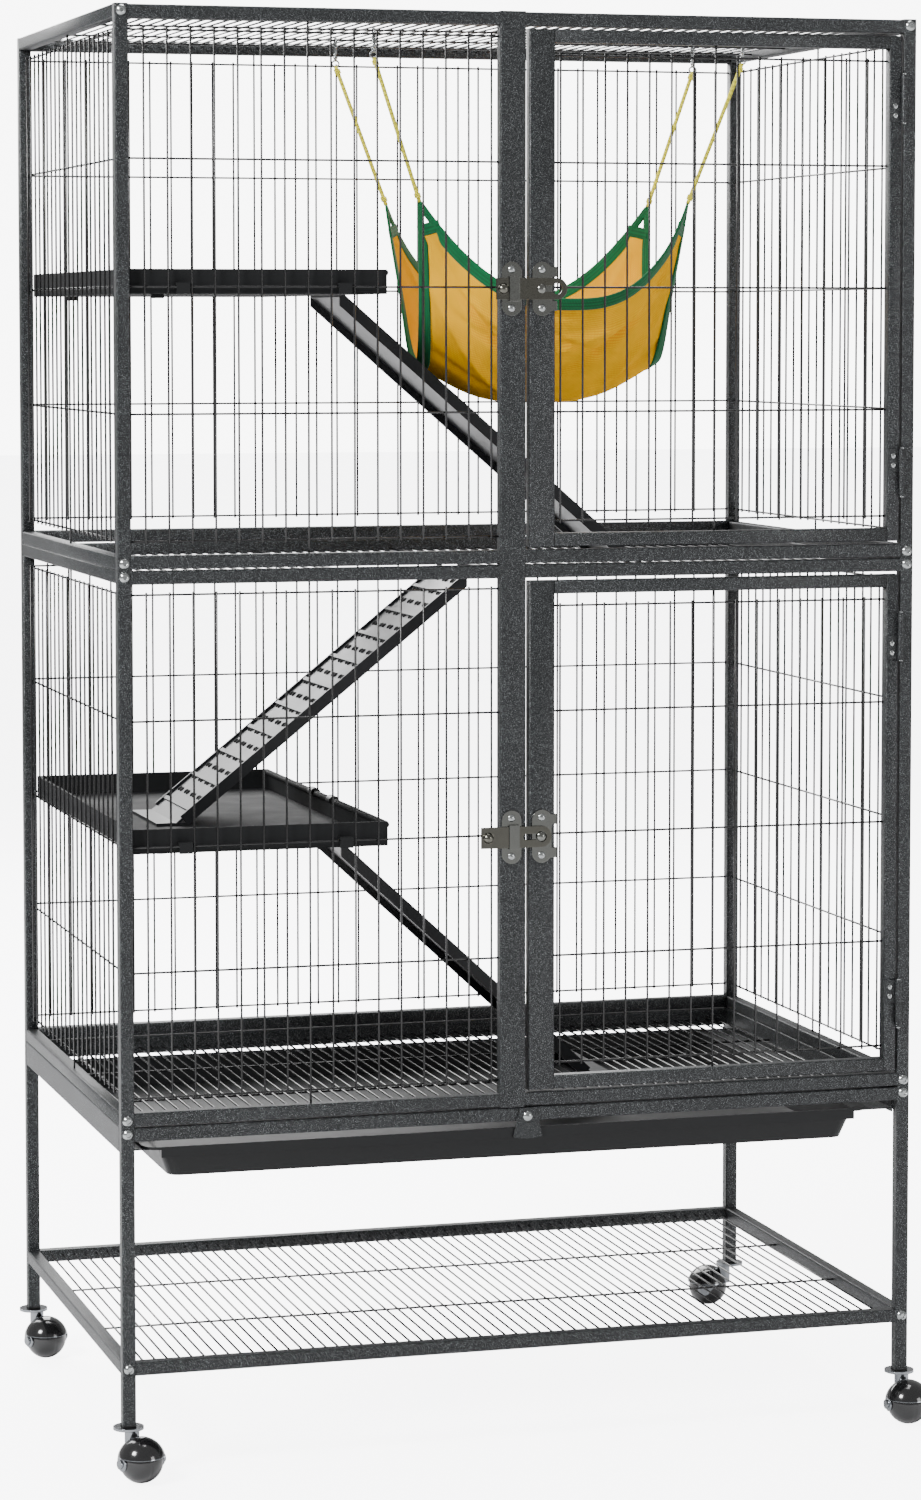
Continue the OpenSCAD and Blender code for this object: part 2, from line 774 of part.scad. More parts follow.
module upper_platform() { platform(platform_z[1]); }
module lower_platform() { platform(platform_z[0]); }

// Ramp drawn from its hook's axis at the origin down towards +X. It falls by fall at the slope,
// its flanges' tops pass drop under the axis, and hook_d is the rod that it hangs on.
module ramp(slope, drop, fall, hook_d) {
    tread = drop + ramp_h;
    run = (fall - tread * cos(slope)) / sin(slope);
    ring_in = hook_d / 2 + hook_gap;
    ring_out = ring_in + hook_t;
    arm_y = ramp_w / 2 - hook_arm_in;
    back = 2 * fall;
    arm_l = (drop + tread_lip + ramp_t / 2) / cos(slope) + ring_in * tan(slope);
    color(black) union() {
        difference() {
            rotate([0, slope, 0]) channel(-tread * 1.2, run, tread, slope);
            translate([ring_in - back, -ramp_w, -back]) cube([back, 2 * ramp_w, 2 * back]);
        }
        for (s = [-1, 1])
            translate([0, s * arm_y - hook_arm_w / 2, 0]) {
                translate([ring_in, 0, -arm_l]) cube([hook_t, hook_arm_w, arm_l + 1]);
                half_ring(ring_in, ring_out, hook_arm_w);
            }
        translate([run * cos(slope) - tread * sin(slope) - foot_lap, -ramp_w / 2, -fall])
            cube([foot_l, ramp_w, ramp_t]);
    }
}

// Upper half of a ring round the Y axis
module half_ring(r_in, r_out, w) {
    intersection() {
        rotate([-90, 0, 0]) difference() {
            cylinder(r = r_out, h = w);
            translate([0, 0, -1]) cylinder(r = r_in, h = w + 2);
        }
        translate([-2 * r_out, -1, 0]) cube([4 * r_out, w + 2, 2 * r_out]);
    }
}

// Cleated tread between two flanges, near their tops; their undersides lie at z = -depth.
// The tread runs on past them until its own underside is as low as theirs at the slope.
module channel(x0, x1, depth, slope) {
    rise = ramp_h - tread_lip - ramp_t;
    tread_z = rise - depth;
    translate([x0, -ramp_w / 2 + ramp_t / 2, tread_z])
        cube([x1 - x0 + rise / tan(slope), ramp_w - ramp_t, ramp_t]);
    for (y = [-ramp_w / 2, ramp_w / 2 - ramp_t])
        translate([x0, y, -depth]) cube([x1 - x0, ramp_t, ramp_h]);
    for (i = [0:floor((x1 - first_cleat - 2 * cleat_w) / cleat_pitch)])
        translate([first_cleat + i * cleat_pitch, -ramp_w / 2 + ramp_t / 2, tread_z + ramp_t / 2])
            cube([cleat_w, ramp_w - ramp_t, ramp_t / 2 + cleat_h]);
}

// From the upper platform to the upper floor
module upper_ramp() {
    z = platform_z[1] + bead_lift;
    translate([bead_x, 0, z])
        ramp(upper_slope, upper_ramp_drop, z - floor_z[1] - wire_d / 2 - gap, bead_d);
}

// From the opening's right rod to the lower platform's floor
module middle_ramp() {
    z = floor_z[1];
    translate([hole_x[1] + rod_d / 2, 0, z]) mirror([1, 0, 0])
        ramp(middle_slope, middle_ramp_drop, z - platform_z[0] - platform_t - gap, rod_d / cos(30));
}

// From the lower platform to the lower floor
module lower_ramp() {
    z = platform_z[0] + bead_lift;
    translate([bead_x, 0, z])
        ramp(lower_slope, lower_ramp_drop, z - floor_z[0] - wire_d / 2 - gap, bead_d);
}

// ---------- hammock ----------

// Point of the cloth's middle surface for u along X and v along Y, both from -1 to 1
function cloth(u, v) = [
    hammock_x + u * (hammock_dx - 14 * (1 - v * v)),
    v * (hammock_dy + hammock_side * pow(1 - u * u, 0.8)),
    hammock_z - end_sag * (1 - pow(abs(v), 1.7)) - side_sag * (1 - pow(abs(u), 2.6))
        + belly_sag * (1 - v * v) * (1 - pow(abs(u), 3)) + fold(u, v)
];
// Folds that gather towards the two ends
function fold(u, v) = 5 * u * u * (1 - v * v) * cos(540 * v) + 2.5 * (1 - u * u) * (1 - v * v) * cos(300 * u);
function cloth_normal(u, v) =
    let (e = 0.01, n = cross(cloth(u + e, v) - cloth(u - e, v), cloth(u, v + e) - cloth(u, v - e)))
    n / norm(n);
function cloth_u(i) = -0.985 + 1.97 * i / cloth_n;

// Closed skin over two grids of points, each of (n + 1) x (n + 1)
module hammock() {
    n = cloth_n;
    m = n + 1;
    upper = [for (i = [0:n], j = [0:n])
        cloth(cloth_u(i), cloth_u(j)) + cloth_normal(cloth_u(i), cloth_u(j)) * cloth_t / 2];
    lower = [for (i = [0:n], j = [0:n])
        cloth(cloth_u(i), cloth_u(j)) - cloth_normal(cloth_u(i), cloth_u(j)) * cloth_t / 2];
    o = m * m;
    top = [for (i = [0:n - 1], j = [0:n - 1], t = [0, 1])
        let (a = i * m + j) t == 0 ? [a, a + 1, a + m] : [a + 1, a + m + 1, a + m]];
    bottom = [for (f = top) [f[0] + o, f[2] + o, f[1] + o]];
    rim = [for (j = [0:n - 1], t = [0, 1]) each [
        wall_face(j, j + 1, o, t), wall_face(n * m + j + 1, n * m + j, o, t),
        wall_face((j + 1) * m, j * m, o, t), wall_face(j * m + n, (j + 1) * m + n, o, t)]];
    color(yellow) polyhedron(points = concat(upper, lower), faces = concat(top, bottom, rim));
}

// One of the two triangles between the points a, b of the upper skin and those under them
function wall_face(a, b, o, t) = t == 0 ? [a, a + o, b] : [b, a + o, b + o];

// Round cord along the points of a path, with flat ends
module cord(path, d) {
    n = len(path);
    sides = 8;
    points = [for (i = [0:n - 1])
        let (t = path[min(i + 1, n - 1)] - path[max(i - 1, 0)], w = t / norm(t),
            a = cross(w, [0, 1, 0]) / norm(cross(w, [0, 1, 0])), b = cross(w, a))
        for (k = [0:sides - 1]) path[i] + d / 2 * (cos(360 * k / sides) * a + sin(360 * k / sides) * b)];
    skin = [for (i = [0:n - 2], k = [0:sides - 1], t = [0, 1])
        let (p = i * sides + k, q = i * sides + (k + 1) % sides)
        t == 0 ? [p, p + sides, q] : [q, p + sides, q + sides]];
    ends = [[for (k = [0:sides - 1]) k], [for (k = [sides - 1:-1:0]) (n - 1) * sides + k]];
    polyhedron(points = points, faces = concat(skin, ends));
}

function hook_end(i, s) = [hook_x[i], s * roof_cross_y[2], hook_top - hook_l - 2 * hook_r - hook_wire - gap];

module hammock_cords() {
    color(yellow) for (i = [0, 1], s = [-1, 1]) {
        u = i == 0 ? -0.985 : 0.985;
        low = cloth(u, s * 0.985);
        high = hook_end(i, s);
        way = (high - low) / norm(high - low);
        cord([low + way * 2 * gap, (low + high) / 2, high - way * gap / 3], cord_d);
    }
}

// Snap hooks: long links over the roof's cross wires
module hammock_hooks() {
    color(nickel) for (i = [0, 1], s = [-1, 1])
        translate([hook_x[i], s * roof_cross_y[2], hook_top - hook_wire / 2 - hook_r]) {
            for (e = [0, -hook_l])
                translate([0, 0, e]) rotate([0, 90, 0]) half_torus(e == 0 ? 1 : -1);
            for (y = [-hook_r, hook_r])
                translate([0, y, -hook_l]) cylinder(d = hook_wire, h = hook_l, $fn = 24);
            translate([0, hook_r, -hook_l + 4]) cylinder(d = hook_wire + 1.4, h = 7, $fn = 24);
        }
}

// Half ring of round wire about the X axis; e = 1 for the upper half, -1 for the lower
module half_torus(e) {
    rotate([0, 0, e > 0 ? 90 : -90]) rotate_extrude(angle = 180)
        translate([hook_r, 0]) circle(d = hook_wire, $fn = 24);
}

// ---------- stand ----------

// Front or back frame of the stand, on the side s (-1 front, 1 back)
module stand_frame(s) {
    y = s * post_y;
    extra = s > 0 ? back_rail_extra : 0;
    color(charcoal) difference() {
        union() {
            for (x = [-post_x, post_x]) {
                translate([x, y, leg_z]) linear_extrude(height = stand_h - leg_z)
                    tube_profile(tube, tube);
                translate([x - tube / 2 + tube_r / 2, y - tube / 2 + tube_r / 2, stand_h - tube_wall])
                    cube([tube - tube_r, tube - tube_r, tube_wall]);
            }
            rail_x(-inner_x, inner_x, y, stand_h - rail_gap - (tube + extra) / 2, tube + extra);
            rail_x(-inner_x, inner_x, y, shelf_z - tube / 2);
        }
        bolt_holes(y, [stand_h - tube / 2, shelf_z - tube / 2]);
        if (s < 0) screw_hole(catch_x, catch_z, catch_screw_d);
    }
}

module stand_front_frame() { stand_frame(-1); }
module stand_back_frame() { stand_frame(1); }

module stand_side_rails() {
    color(charcoal) for (x = [-post_x, post_x])
        rail_y(x, stand_h - side_rail_h / 2, side_rail_h);
}

module shelf_side_rails() {
    color(charcoal) for (x = [-post_x, post_x])
        rail_y(x, shelf_z - tube / 2);
}

module shelf_grille() {
    color(black) union()
        wire_floor(-inner_x, inner_x, -inner_y, inner_y, shelf_z - tube / 2 + 1, shelf_cross_y);
}

// ---------- tray ----------

// Rounded plate of length l along X and width w along Y
module rounded_plate(l, w, r, t) {
    linear_extrude(height = t) union() {
        square([l - 2 * r, w], center = true);
        square([l, w - 2 * r], center = true);
        for (x = [-1, 1], y = [-1, 1])
            translate([x * (l / 2 - r), y * (w / 2 - r)]) circle(r = r, $fn = 32);
    }
}

// Tapering block with round corners, its top at z = 0
module tray_block(l, w, h, r) {
    hull() {
        translate([0, 0, -0.2]) rounded_plate(l, w, r, 0.2);
        translate([0, 0, -h]) rounded_plate(l - 2 * tray_taper + tray_rim, w - tray_rim, r, 0.2);
    }
}

module tray() {
    rim_t = 2.6;
    pan_l = tray_l - 2 * tray_rim;
    pan_w = tray_d - tray_rim;
    band_h = 10;
    color(black) translate([tray_x, tray_y0 + tray_d / 2, tray_top]) difference() {
        union() {
            translate([0, 0, -rim_t]) rounded_plate(tray_l, tray_d, tray_r, rim_t);
            translate([0, -tray_rim / 2 + 1, 0]) tray_block(pan_l, pan_w, tray_h, tray_r - 4);
            translate([0, -tray_d / 2 + 4, -band_h / 2])
                cube([tray_l - 2 * tray_r, 8, band_h], center = true);
        }
        translate([0, -tray_rim / 2 + 1, 0.1])
            tray_block(pan_l - 2 * tray_t, pan_w - 2 * tray_t, tray_h - tray_t + 0.1, tray_r - 4 - tray_t);
    }
}

// Angle ledges under the tray's rim, on the stand's side rails
module tray_runners() {
    ledge_z = tray_top - 2.6 - gap - runner_t;
    ends = [tray_x - tray_l / 2 + tray_rim - 3, tray_x + tray_l / 2 - tray_rim + 3];
    color(charcoal) for (s = [-1, 1]) {
        side = s * inner_x;
        end = s < 0 ? ends[0] : ends[1];
        translate([min(side, end), -inner_y, ledge_z])
            cube([abs(side - end), 2 * inner_y, runner_t]);
        translate([s < 0 ? side : side - runner_t, -inner_y, ledge_z - 3])
            cube([runner_t, 2 * inner_y, floor_z[0] - 2 * wire_d - ledge_z + 3]);
    }
}

// Turning plate that hangs in front of the tray's rim, with a curved lower edge
module tray_catch() {
    top_w = 16;
    low_w = 30;
    top_h = 8;
    low_h = 21.5;
    arc_r = 60;
    color(charcoal) translate([catch_x, -back_y - gap, catch_z]) rotate([90, 0, 0])
        linear_extrude(height = catch_t) difference() {
            intersection() {
                polygon([[-top_w / 2, top_h], [top_w / 2, top_h], [low_w / 2, -low_h],
                    [-low_w / 2, -low_h]]);
                translate([0, arc_r - low_h]) circle(r = arc_r, $fn = 128);
            }
            circle(d = catch_screw_d + 0.1);
        }
}

module tray_catch_screw() {
    color(zinc) translate([catch_x, -back_y - 2 * gap - catch_t, catch_z]) rotate([-90, 0, 0]) union() {
        cylinder(d = catch_screw_d, h = tube / 2);
        rotate_extrude() dome(5, 2.4);
    }
}

// ---------- casters ----------

// Plastic plugs in the legs' lower ends, each with the bore of a swivel stem
module caster_sockets() {
    in_w = tube - 2 * tube_wall - 0.1;
    color(black) for (x = [-post_x, post_x], y = [-post_y, post_y])
        translate([x, y, leg_z]) difference() {
            union() {
                translate([-in_w / 2, -in_w / 2, -socket_flange])
                    cube([in_w, in_w, socket_l + socket_flange]);
                translate([-tube / 2, -tube / 2, -socket_flange]) cube([tube, tube, socket_flange]);
            }
            translate([0, 0, -socket_flange - 1]) cylinder(r = stem_d / 2 + 0.05, h = socket_l);
        }
}

// To the frame of one ball: its middle at the origin, +X away from the stem, the axle along Y
module at_ball(c) {
    translate([c[0] * post_x, c[1] * post_y, 0]) rotate([0, 0, c[2]])
        translate([trail, 0, ball_d / 2]) children();
}

// Disc, stem, horn, hood, fork and axle of one caster
module caster(c) {
    in_r = ball_d / 2 + hood_gap;
    out_r = in_r + hood_t;
    axle_l = 2 * out_r + 2;
    color(nickel) union() {
        translate([c[0] * post_x, c[1] * post_y, disc_z]) {
            cylinder(d = disc_d, h = disc_t);
            cylinder(d = stem_d, h = socket_l - 6);
        }
        at_ball(c) {
            difference() {
                union() {
                    intersection() {
                        rotate([0, 90, 0]) sphere(r = out_r, $fn = 64);
                        hood_region(2 * ball_d);
                    }
                    translate([-trail + disc_d / 2 - fork_w / 2 - horn_in, 0, hood_rise])
                        cylinder(d = fork_w, h = disc_z + disc_t / 2 - ball_d / 2 - hood_rise);
                }
                rotate([0, 90, 0]) sphere(r = in_r, $fn = 64);
            }
            rotate([90, 0, 0]) cylinder(d = axle_d, h = axle_l, center = true);
            for (s = [-1, 1])
                translate([0, s * (axle_l / 2 - 0.5), 0]) rotate([90, 0, 0])
                    cylinder(d = axle_head_d, h = 2, center = true);
        }
    }
}

// Where the hood's skin is kept: the ball's top, a band over it that leans back to the stem,
// and a round lug at each end of the axle
module hood_region(big) {
    union() {
        translate([0, 0, hood_rise + big / 2]) cube([big, big, big], center = true);
        rotate([0, -fork_lean, 0]) translate([0, 0, big / 2])
            cube([fork_w - 1, big, big], center = true);
        rotate([90, 0, 0]) cylinder(d = fork_w, h = big, center = true);
    }
}

// Ball that turns on the axle
module caster_wheel(c) {
    color(black) at_ball(c) difference() {
        sphere(d = ball_d, $fn = 64);
        rotate([90, 0, 0]) cylinder(r = axle_d / 2 + 0.05, h = 2 * ball_d, center = true);
    }
}

module front_left_caster() { caster(casters[0]); }
module front_right_caster() { caster(casters[1]); }
module back_left_caster() { caster(casters[2]); }
module back_right_caster() { caster(casters[3]); }
module front_left_wheel() { caster_wheel(casters[0]); }
module front_right_wheel() { caster_wheel(casters[1]); }
module back_left_wheel() { caster_wheel(casters[2]); }
module back_right_wheel() { caster_wheel(casters[3]); }

// ---------- fasteners ----------

module corner_bolts() {
    heights = [top_z - tube / 2, upper_z + tube / 2, upper_z - tube / 2, lower_z + tube / 2,
        stand_h - tube / 2, shelf_z - tube / 2];
    socket_d = 4.6;
    color(zinc) for (s = [-1, 1], x = [-post_x, post_x], z = heights)
        translate([x, s * back_y, z]) rotate([s * 90, 0, 0]) difference() {
            union() {
                cylinder(d = bolt_d, h = tube + insert_l - 1);
                rotate_extrude() dome(bolt_head_d / 2, bolt_head_h);
            }
            translate([0, 0, -bolt_head_h - 1]) cylinder(d = socket_d, h = 2.6, $fn = 6);
        }
}

upper_front_frame();
upper_front_grille();
upper_back_panel();
upper_left_panel();
upper_right_panel();
roof_grille();
upper_floor_grille();
lower_front_frame();
lower_front_grille();
lower_back_panel();
lower_left_panel();
lower_right_panel();
lower_floor_grille();
upper_door();
lower_door();
hinge_post_leaves();
hinge_pins();
upper_door_hinge_leaves();
lower_door_hinge_leaves();
upper_door_rivets();
lower_door_rivets();
upper_latch_base();
upper_latch_slide();
upper_latch_keeper();
upper_keeper_screws();
lower_latch_base();
lower_latch_slide();
lower_latch_keeper();
lower_keeper_screws();
latch_base_screws();
upper_platform();
lower_platform();
upper_ramp();
middle_ramp();
lower_ramp();
hammock();
hammock_cords();
hammock_hooks();
stand_front_frame();
stand_back_frame();
stand_side_rails();
shelf_side_rails();
shelf_grille();
tray();
tray_runners();
tray_catch();
tray_catch_screw();
caster_sockets();
front_left_caster();
front_right_caster();
back_left_caster();
back_right_caster();
front_left_wheel();
front_right_wheel();
back_left_wheel();
back_right_wheel();
corner_bolts();
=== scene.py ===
"""A two-storey wire cage for small animals, dressed for a studio picture.

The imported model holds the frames, doors, latches, platforms and casters at their real sizes.
This add-on gives them their finishes and adds the pieces whose look needs a finer surface:
round wires, the cloth hammock with its binding and cords, the caster balls and the ramp treads.
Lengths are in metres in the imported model's own frame: +Z up, -Y the front.
"""

import json
import math

import bmesh
import bpy
import numpy as np
from bpy.props import FloatProperty, FloatVectorProperty, IntProperty, PointerProperty
from mathutils import Matrix


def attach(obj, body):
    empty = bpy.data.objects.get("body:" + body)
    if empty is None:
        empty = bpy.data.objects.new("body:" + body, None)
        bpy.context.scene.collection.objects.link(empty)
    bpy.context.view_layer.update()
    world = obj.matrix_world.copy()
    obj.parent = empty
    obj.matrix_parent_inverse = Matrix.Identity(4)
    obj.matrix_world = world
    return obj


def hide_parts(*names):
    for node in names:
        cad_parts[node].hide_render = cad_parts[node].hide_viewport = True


bl_info = {
    "name": "Ferret cage",
    "version": (1, 0, 0),
    "blender": (4, 5, 0),
    "location": "View3D > Sidebar > Cage",
    "description": "Dresses the packed cage with round wires, cloth, cords, casters and finishes",
    "category": "Object",
}

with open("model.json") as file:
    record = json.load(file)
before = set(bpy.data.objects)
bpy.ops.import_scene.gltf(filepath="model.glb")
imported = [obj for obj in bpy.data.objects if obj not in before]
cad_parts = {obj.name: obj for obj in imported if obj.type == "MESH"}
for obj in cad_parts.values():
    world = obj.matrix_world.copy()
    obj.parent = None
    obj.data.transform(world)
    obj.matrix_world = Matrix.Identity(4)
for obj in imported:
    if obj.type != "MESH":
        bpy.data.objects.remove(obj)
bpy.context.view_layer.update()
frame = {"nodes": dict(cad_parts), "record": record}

MM = 0.001

# Driving sizes of the cage, as in the part's source
TUBE, WIRE, ROD = 12.7 * MM, 2.0 * MM, 4.0 * MM
WELD = 0.15 * MM  # how deep crossing wires sink into each other
FLOOR_PITCH, WALL_PITCH, DOOR_PITCH = 11.9 * MM, 22.2 * MM, 22.16 * MM

# Camera that took the photograph, fitted to it: its place, its right and its up; then in pixels
# the photograph's size, the lens's focal length and where its axis meets the photograph
CAMERA_PLACE = (-1.16097, -4.05372, 1.07933)
CAMERA_RIGHT = (0.960751, -0.277410, -0.000436)
CAMERA_UP = (0.019819, 0.067074, 0.997551)
PHOTO_SIZE = (921, 1500)
PHOTO_FOCAL_PX = 4198.0
PHOTO_AXIS_PX = (461.6, 617.4)
SENSOR = 36.0


# ---------------------------------------------------------------- surfaces


def put_mesh(name, points, quads, uv=None):
    """Makes a smooth-shaded mesh object from an (n, 3) array of points and an (m, 4) array of
    quads. uv, where given, holds one pair for each corner of each quad."""
    faces = np.asarray(quads, np.int32)
    points = np.asarray(points, np.float32)
    mesh = bpy.data.meshes.new(name)
    mesh.vertices.add(len(points))
    mesh.vertices.foreach_set("co", points.ravel())
    corners = faces.shape[1]
    mesh.loops.add(faces.size)
    mesh.loops.foreach_set("vertex_index", faces.ravel())
    mesh.polygons.add(len(faces))
    mesh.polygons.foreach_set("loop_start", np.arange(0, faces.size, corners, dtype=np.int32))
    mesh.polygons.foreach_set("use_smooth", np.full(len(faces), True))
    if uv is not None:
        layer = mesh.uv_layers.new(name="UVMap")
        layer.data.foreach_set("uv", np.asarray(uv, np.float32).ravel())
    mesh.update(calc_edges=True)
    mesh.validate()
    piece = bpy.data.objects.new(name, mesh)
    bpy.context.scene.collection.objects.link(piece)
    return piece


def grid_faces(rows, columns, close_rows=False, close_columns=False):
    """Quads of a grid whose point (i, j) has the index i * columns + j."""
    i = np.arange(rows if close_rows else rows - 1)[:, None]
    j = np.arange(columns if close_columns else columns - 1)[None, :]
    down, right = (i + 1) % rows, (j + 1) % columns
    here, below = i * columns, down * columns
    return np.stack([here + j, here + right, below + right, below + j], -1).reshape(-1, 4)


def unit(vectors):
    """Vectors, which run along the last axis, at length 1."""
    return vectors / np.linalg.norm(vectors, axis=-1, keepdims=True)


def sides_along(path):
    """For each point of a path: two unit vectors square to the path and to each other, which turn
    as little as they can from point to point."""
    tangent = unit(np.gradient(path, axis=0))
    side = np.zeros_like(path)
    last = np.cross(tangent[0], helper_axis(tangent[0]))
    for i, along in enumerate(tangent):
        last = side[i] = unit(last - along * np.dot(last, along))
    return side, np.cross(tangent, side)


def helper_axis(way):
    """An axis that doesn't lie along the given unit vectors: +Z, or +X for those near Z."""
    steep = np.abs(np.asarray(way)[..., 2:3]) >= 0.9
    return np.where(steep, [1.0, 0.0, 0.0], [0.0, 0.0, 1.0])


def circles(side, over, sides):
    """The points of a unit circle in the plane of each pair of unit vectors."""
    turn = np.linspace(0, 2 * math.pi, sides, endpoint=False)[:, None]
    return np.cos(turn) * side[..., None, :] + np.sin(turn) * over[..., None, :]


def wrapped_uv(around, along):
    """UVs (around, along) for the quads of a grid of closed rings. Both arrays hold the values at
    the grid's lines, from the first to the one past the last quad."""
    i, j = np.divmod(np.arange((len(along) - 1) * (len(around) - 1)), len(around) - 1)
    corners = [(i, j), (i, j + 1), (i + 1, j + 1), (i + 1, j)]
    return np.stack([np.stack([around[column], along[row]], -1) for row, column in corners], 1)


def lengths_along(path):
    """The length of a path from its start to each of its points."""
    return np.concatenate([[0], np.cumsum(np.linalg.norm(np.diff(path, axis=0), axis=1))])


def tube(name, path, radius, sides=16):
    """A circle carried along a path, closed at both ends by a last ring drawn to a point."""
    rings = path[:, None] + radius * circles(*sides_along(path), sides)
    path = np.concatenate([path[:1], path, path[-1:]])
    rings = np.concatenate([
        np.repeat(path[:1], sides, 0)[None], rings, np.repeat(path[-1:], sides, 0)[None]])
    quads = grid_faces(len(rings), sides, close_columns=True)
    uv = wrapped_uv(np.arange(sides + 1) / sides, lengths_along(path))
    return put_mesh(name, rings.reshape(-1, 3), quads[:, ::-1], uv=uv[:, ::-1])


def revolved(name, profile, place, axis, sides):
    """A profile of (radius, height) pairs turned round a unit axis through place."""
    axis = np.asarray(axis, float)
    side = unit(np.cross(axis, helper_axis(axis)))
    ring = circles(side, np.cross(axis, side), sides)
    points = place + profile[:, :1, None] * ring + profile[:, 1:, None] * axis
    quads = grid_faces(len(profile), sides, close_columns=True)
    return put_mesh(name, points.reshape(-1, 3), quads)


def round_wires(name, starts, ends, diameter, sides):
    """Straight round wires, all in one mesh: each is four rings, the two end ones smaller so that
    the cut ends are slightly rounded, and a flat disc closes each end."""
    way = unit(ends - starts)
    side = unit(np.cross(way, helper_axis(way)))
    ring = circles(side, np.cross(way, side), sides)
    radius = diameter / 2
    chamfer = radius * 0.35
    stations = [(starts, radius - chamfer), (starts + way * chamfer, radius),
                (ends - way * chamfer, radius), (ends, radius - chamfer)]
    rings = np.stack([place[:, None] + r * ring for place, r in stations], 1)
    quads = grid_faces(4, sides, close_columns=True)
    steps = (np.arange(len(starts)) * 4 * sides)[:, None, None]
    faces = (quads[None, :, ::-1] + steps).reshape(-1, 4)
    piece = put_mesh(name, rings.reshape(-1, 3), faces)
    close_ends(piece)
    return piece


def close_ends(piece):
    """Fills every open rim of a piece with one flat face."""
    work = bmesh.new()
    work.from_mesh(piece.data)
    rims = [edge for edge in work.edges if edge.is_boundary]
    made = bmesh.ops.holes_fill(work, edges=rims, sides=0)["faces"]
    for face in made:
        face.smooth = False
    bmesh.ops.recalc_face_normals(work, faces=work.faces)
    work.to_mesh(piece.data)
    work.free()


def joined(name, pieces):
    """One object holding the meshes of several."""
    bpy.ops.object.select_all(action="DESELECT")
    for piece in pieces:
        piece.select_set(True)
    bpy.context.view_layer.objects.active = pieces[0]
    bpy.ops.object.join()
    pieces[0].name = pieces[0].data.name = name
    return pieces[0]


# ---------------------------------------------------------------- materials

MIX_A, MIX_B, MIX_OUT = 6, 7, 2  # a colour Mix node's two colours and its result, by place


def linear(colour):
    """An sRGB hex colour as linear red, green, blue, alpha."""
    parts = [int(colour[i:i + 2], 16) / 255 for i in (1, 3, 5)]
    return (*[c / 12.92 if c <= 0.04045 else ((c + 0.055) / 1.055) ** 2.4 for c in parts], 1.0)


def add(material, kind, sockets=None, **settings):
    """Adds a node of a kind: settings are its own properties, sockets its inputs by name or place,
    each a value or another node's output to link."""
    tree = material.node_tree
    made = tree.nodes.new("ShaderNode" + kind)
    for key, value in settings.items():
        setattr(made, key, value)
    for key, value in (sockets or {}).items():
        if isinstance(value, bpy.types.NodeSocket):
            tree.links.new(value, made.inputs[key])
        else:
            made.inputs[key].default_value = value
    return made


def blank(name, **values):
    """A material, its one Principled shader, whose sockets hold the given values, and the Object
    coordinates for its patterns."""
    material = bpy.data.materials.new(name)
    material.use_nodes = True
    shader = material.node_tree.nodes["Principled BSDF"]
    for key, value in values.items():
        shader.inputs[key.replace("_", " ")].default_value = value
    return material, shader, add(material, "TexCoord").outputs["Object"]


def feed(shader, **outputs):
    """Links other nodes' outputs to the shader's sockets of those names."""
    for key, output in outputs.items():
        shader.id_data.links.new(output, shader.inputs[key.replace("_", " ")])


def shaded(material, colour, pattern, low, high, span=(0.0, 1.0)):
    """A colour that a pattern, taken over its span, makes darker and lighter, from low to high."""
    level = add(material, "MapRange", {
        "Value": pattern, "From Min": span[0], "From Max": span[1], "To Min": low, "To Max": high})
    toned = add(material, "HueSaturation", {"Color": colour, "Value": level.outputs["Result"]})
    return toned.outputs["Color"]


def hammered_enamel(colour, fleck):
    """Charcoal hammer-finish powder coat on steel: small rounded dimples a few millimetres apart
    and fine silver flecks, so that the tubes glint instead of looking flat."""
    material, shader, place = blank("hammered_powder_coat", Roughness=0.45, Specular_IOR_Level=0.3)
    cells = add(material, "TexVoronoi", {"Vector": place, "Scale": 1 / (1.7 * MM)},
                feature="SMOOTH_F1")
    grains = add(material, "TexNoise", {"Vector": place, "Scale": 1 / (0.55 * MM), "Detail": 2.0})
    cloud = add(material, "TexNoise", {"Vector": place, "Scale": 1 / (60 * MM), "Detail": 2.0})
    flecks = add(material, "MapRange", {
        "Value": grains.outputs["Fac"], "From Min": 0.60, "From Max": 0.70, "To Max": 0.85})
    base = add(material, "Mix", {MIX_A: colour, MIX_B: fleck, "Factor": flecks.outputs["Result"]},
               data_type="RGBA")
    dimples = add(material, "Bump", {
        "Height": cells.outputs["Distance"], "Distance": 0.22 * MM, "Strength": 0.5})
    tone = shaded(material, base.outputs[MIX_OUT], cloud.outputs["Fac"], 0.9, 1.1, (0.3, 0.7))
    feed(shader, Base_Color=tone, Metallic=flecks.outputs["Result"],
         Normal=dimples.outputs["Normal"])
    return material


def gloss_enamel(colour):
    """Black gloss powder coat on wire: a smooth, slightly uneven skin with a clear highlight."""
    material, shader, place = blank(
        "gloss_powder_coat", Roughness=0.26, Coat_Weight=0.1, Coat_Roughness=0.1)
    skin = add(material, "TexNoise", {"Vector": place, "Scale": 1 / (1.6 * MM), "Detail": 3.0})
    waves = add(material, "Bump", {
        "Height": skin.outputs["Fac"], "Distance": 0.05 * MM, "Strength": 0.4})
    feed(shader, Normal=waves.outputs["Normal"],
         Base_Color=shaded(material, colour, skin.outputs["Fac"], 0.75, 1.25))
    return material


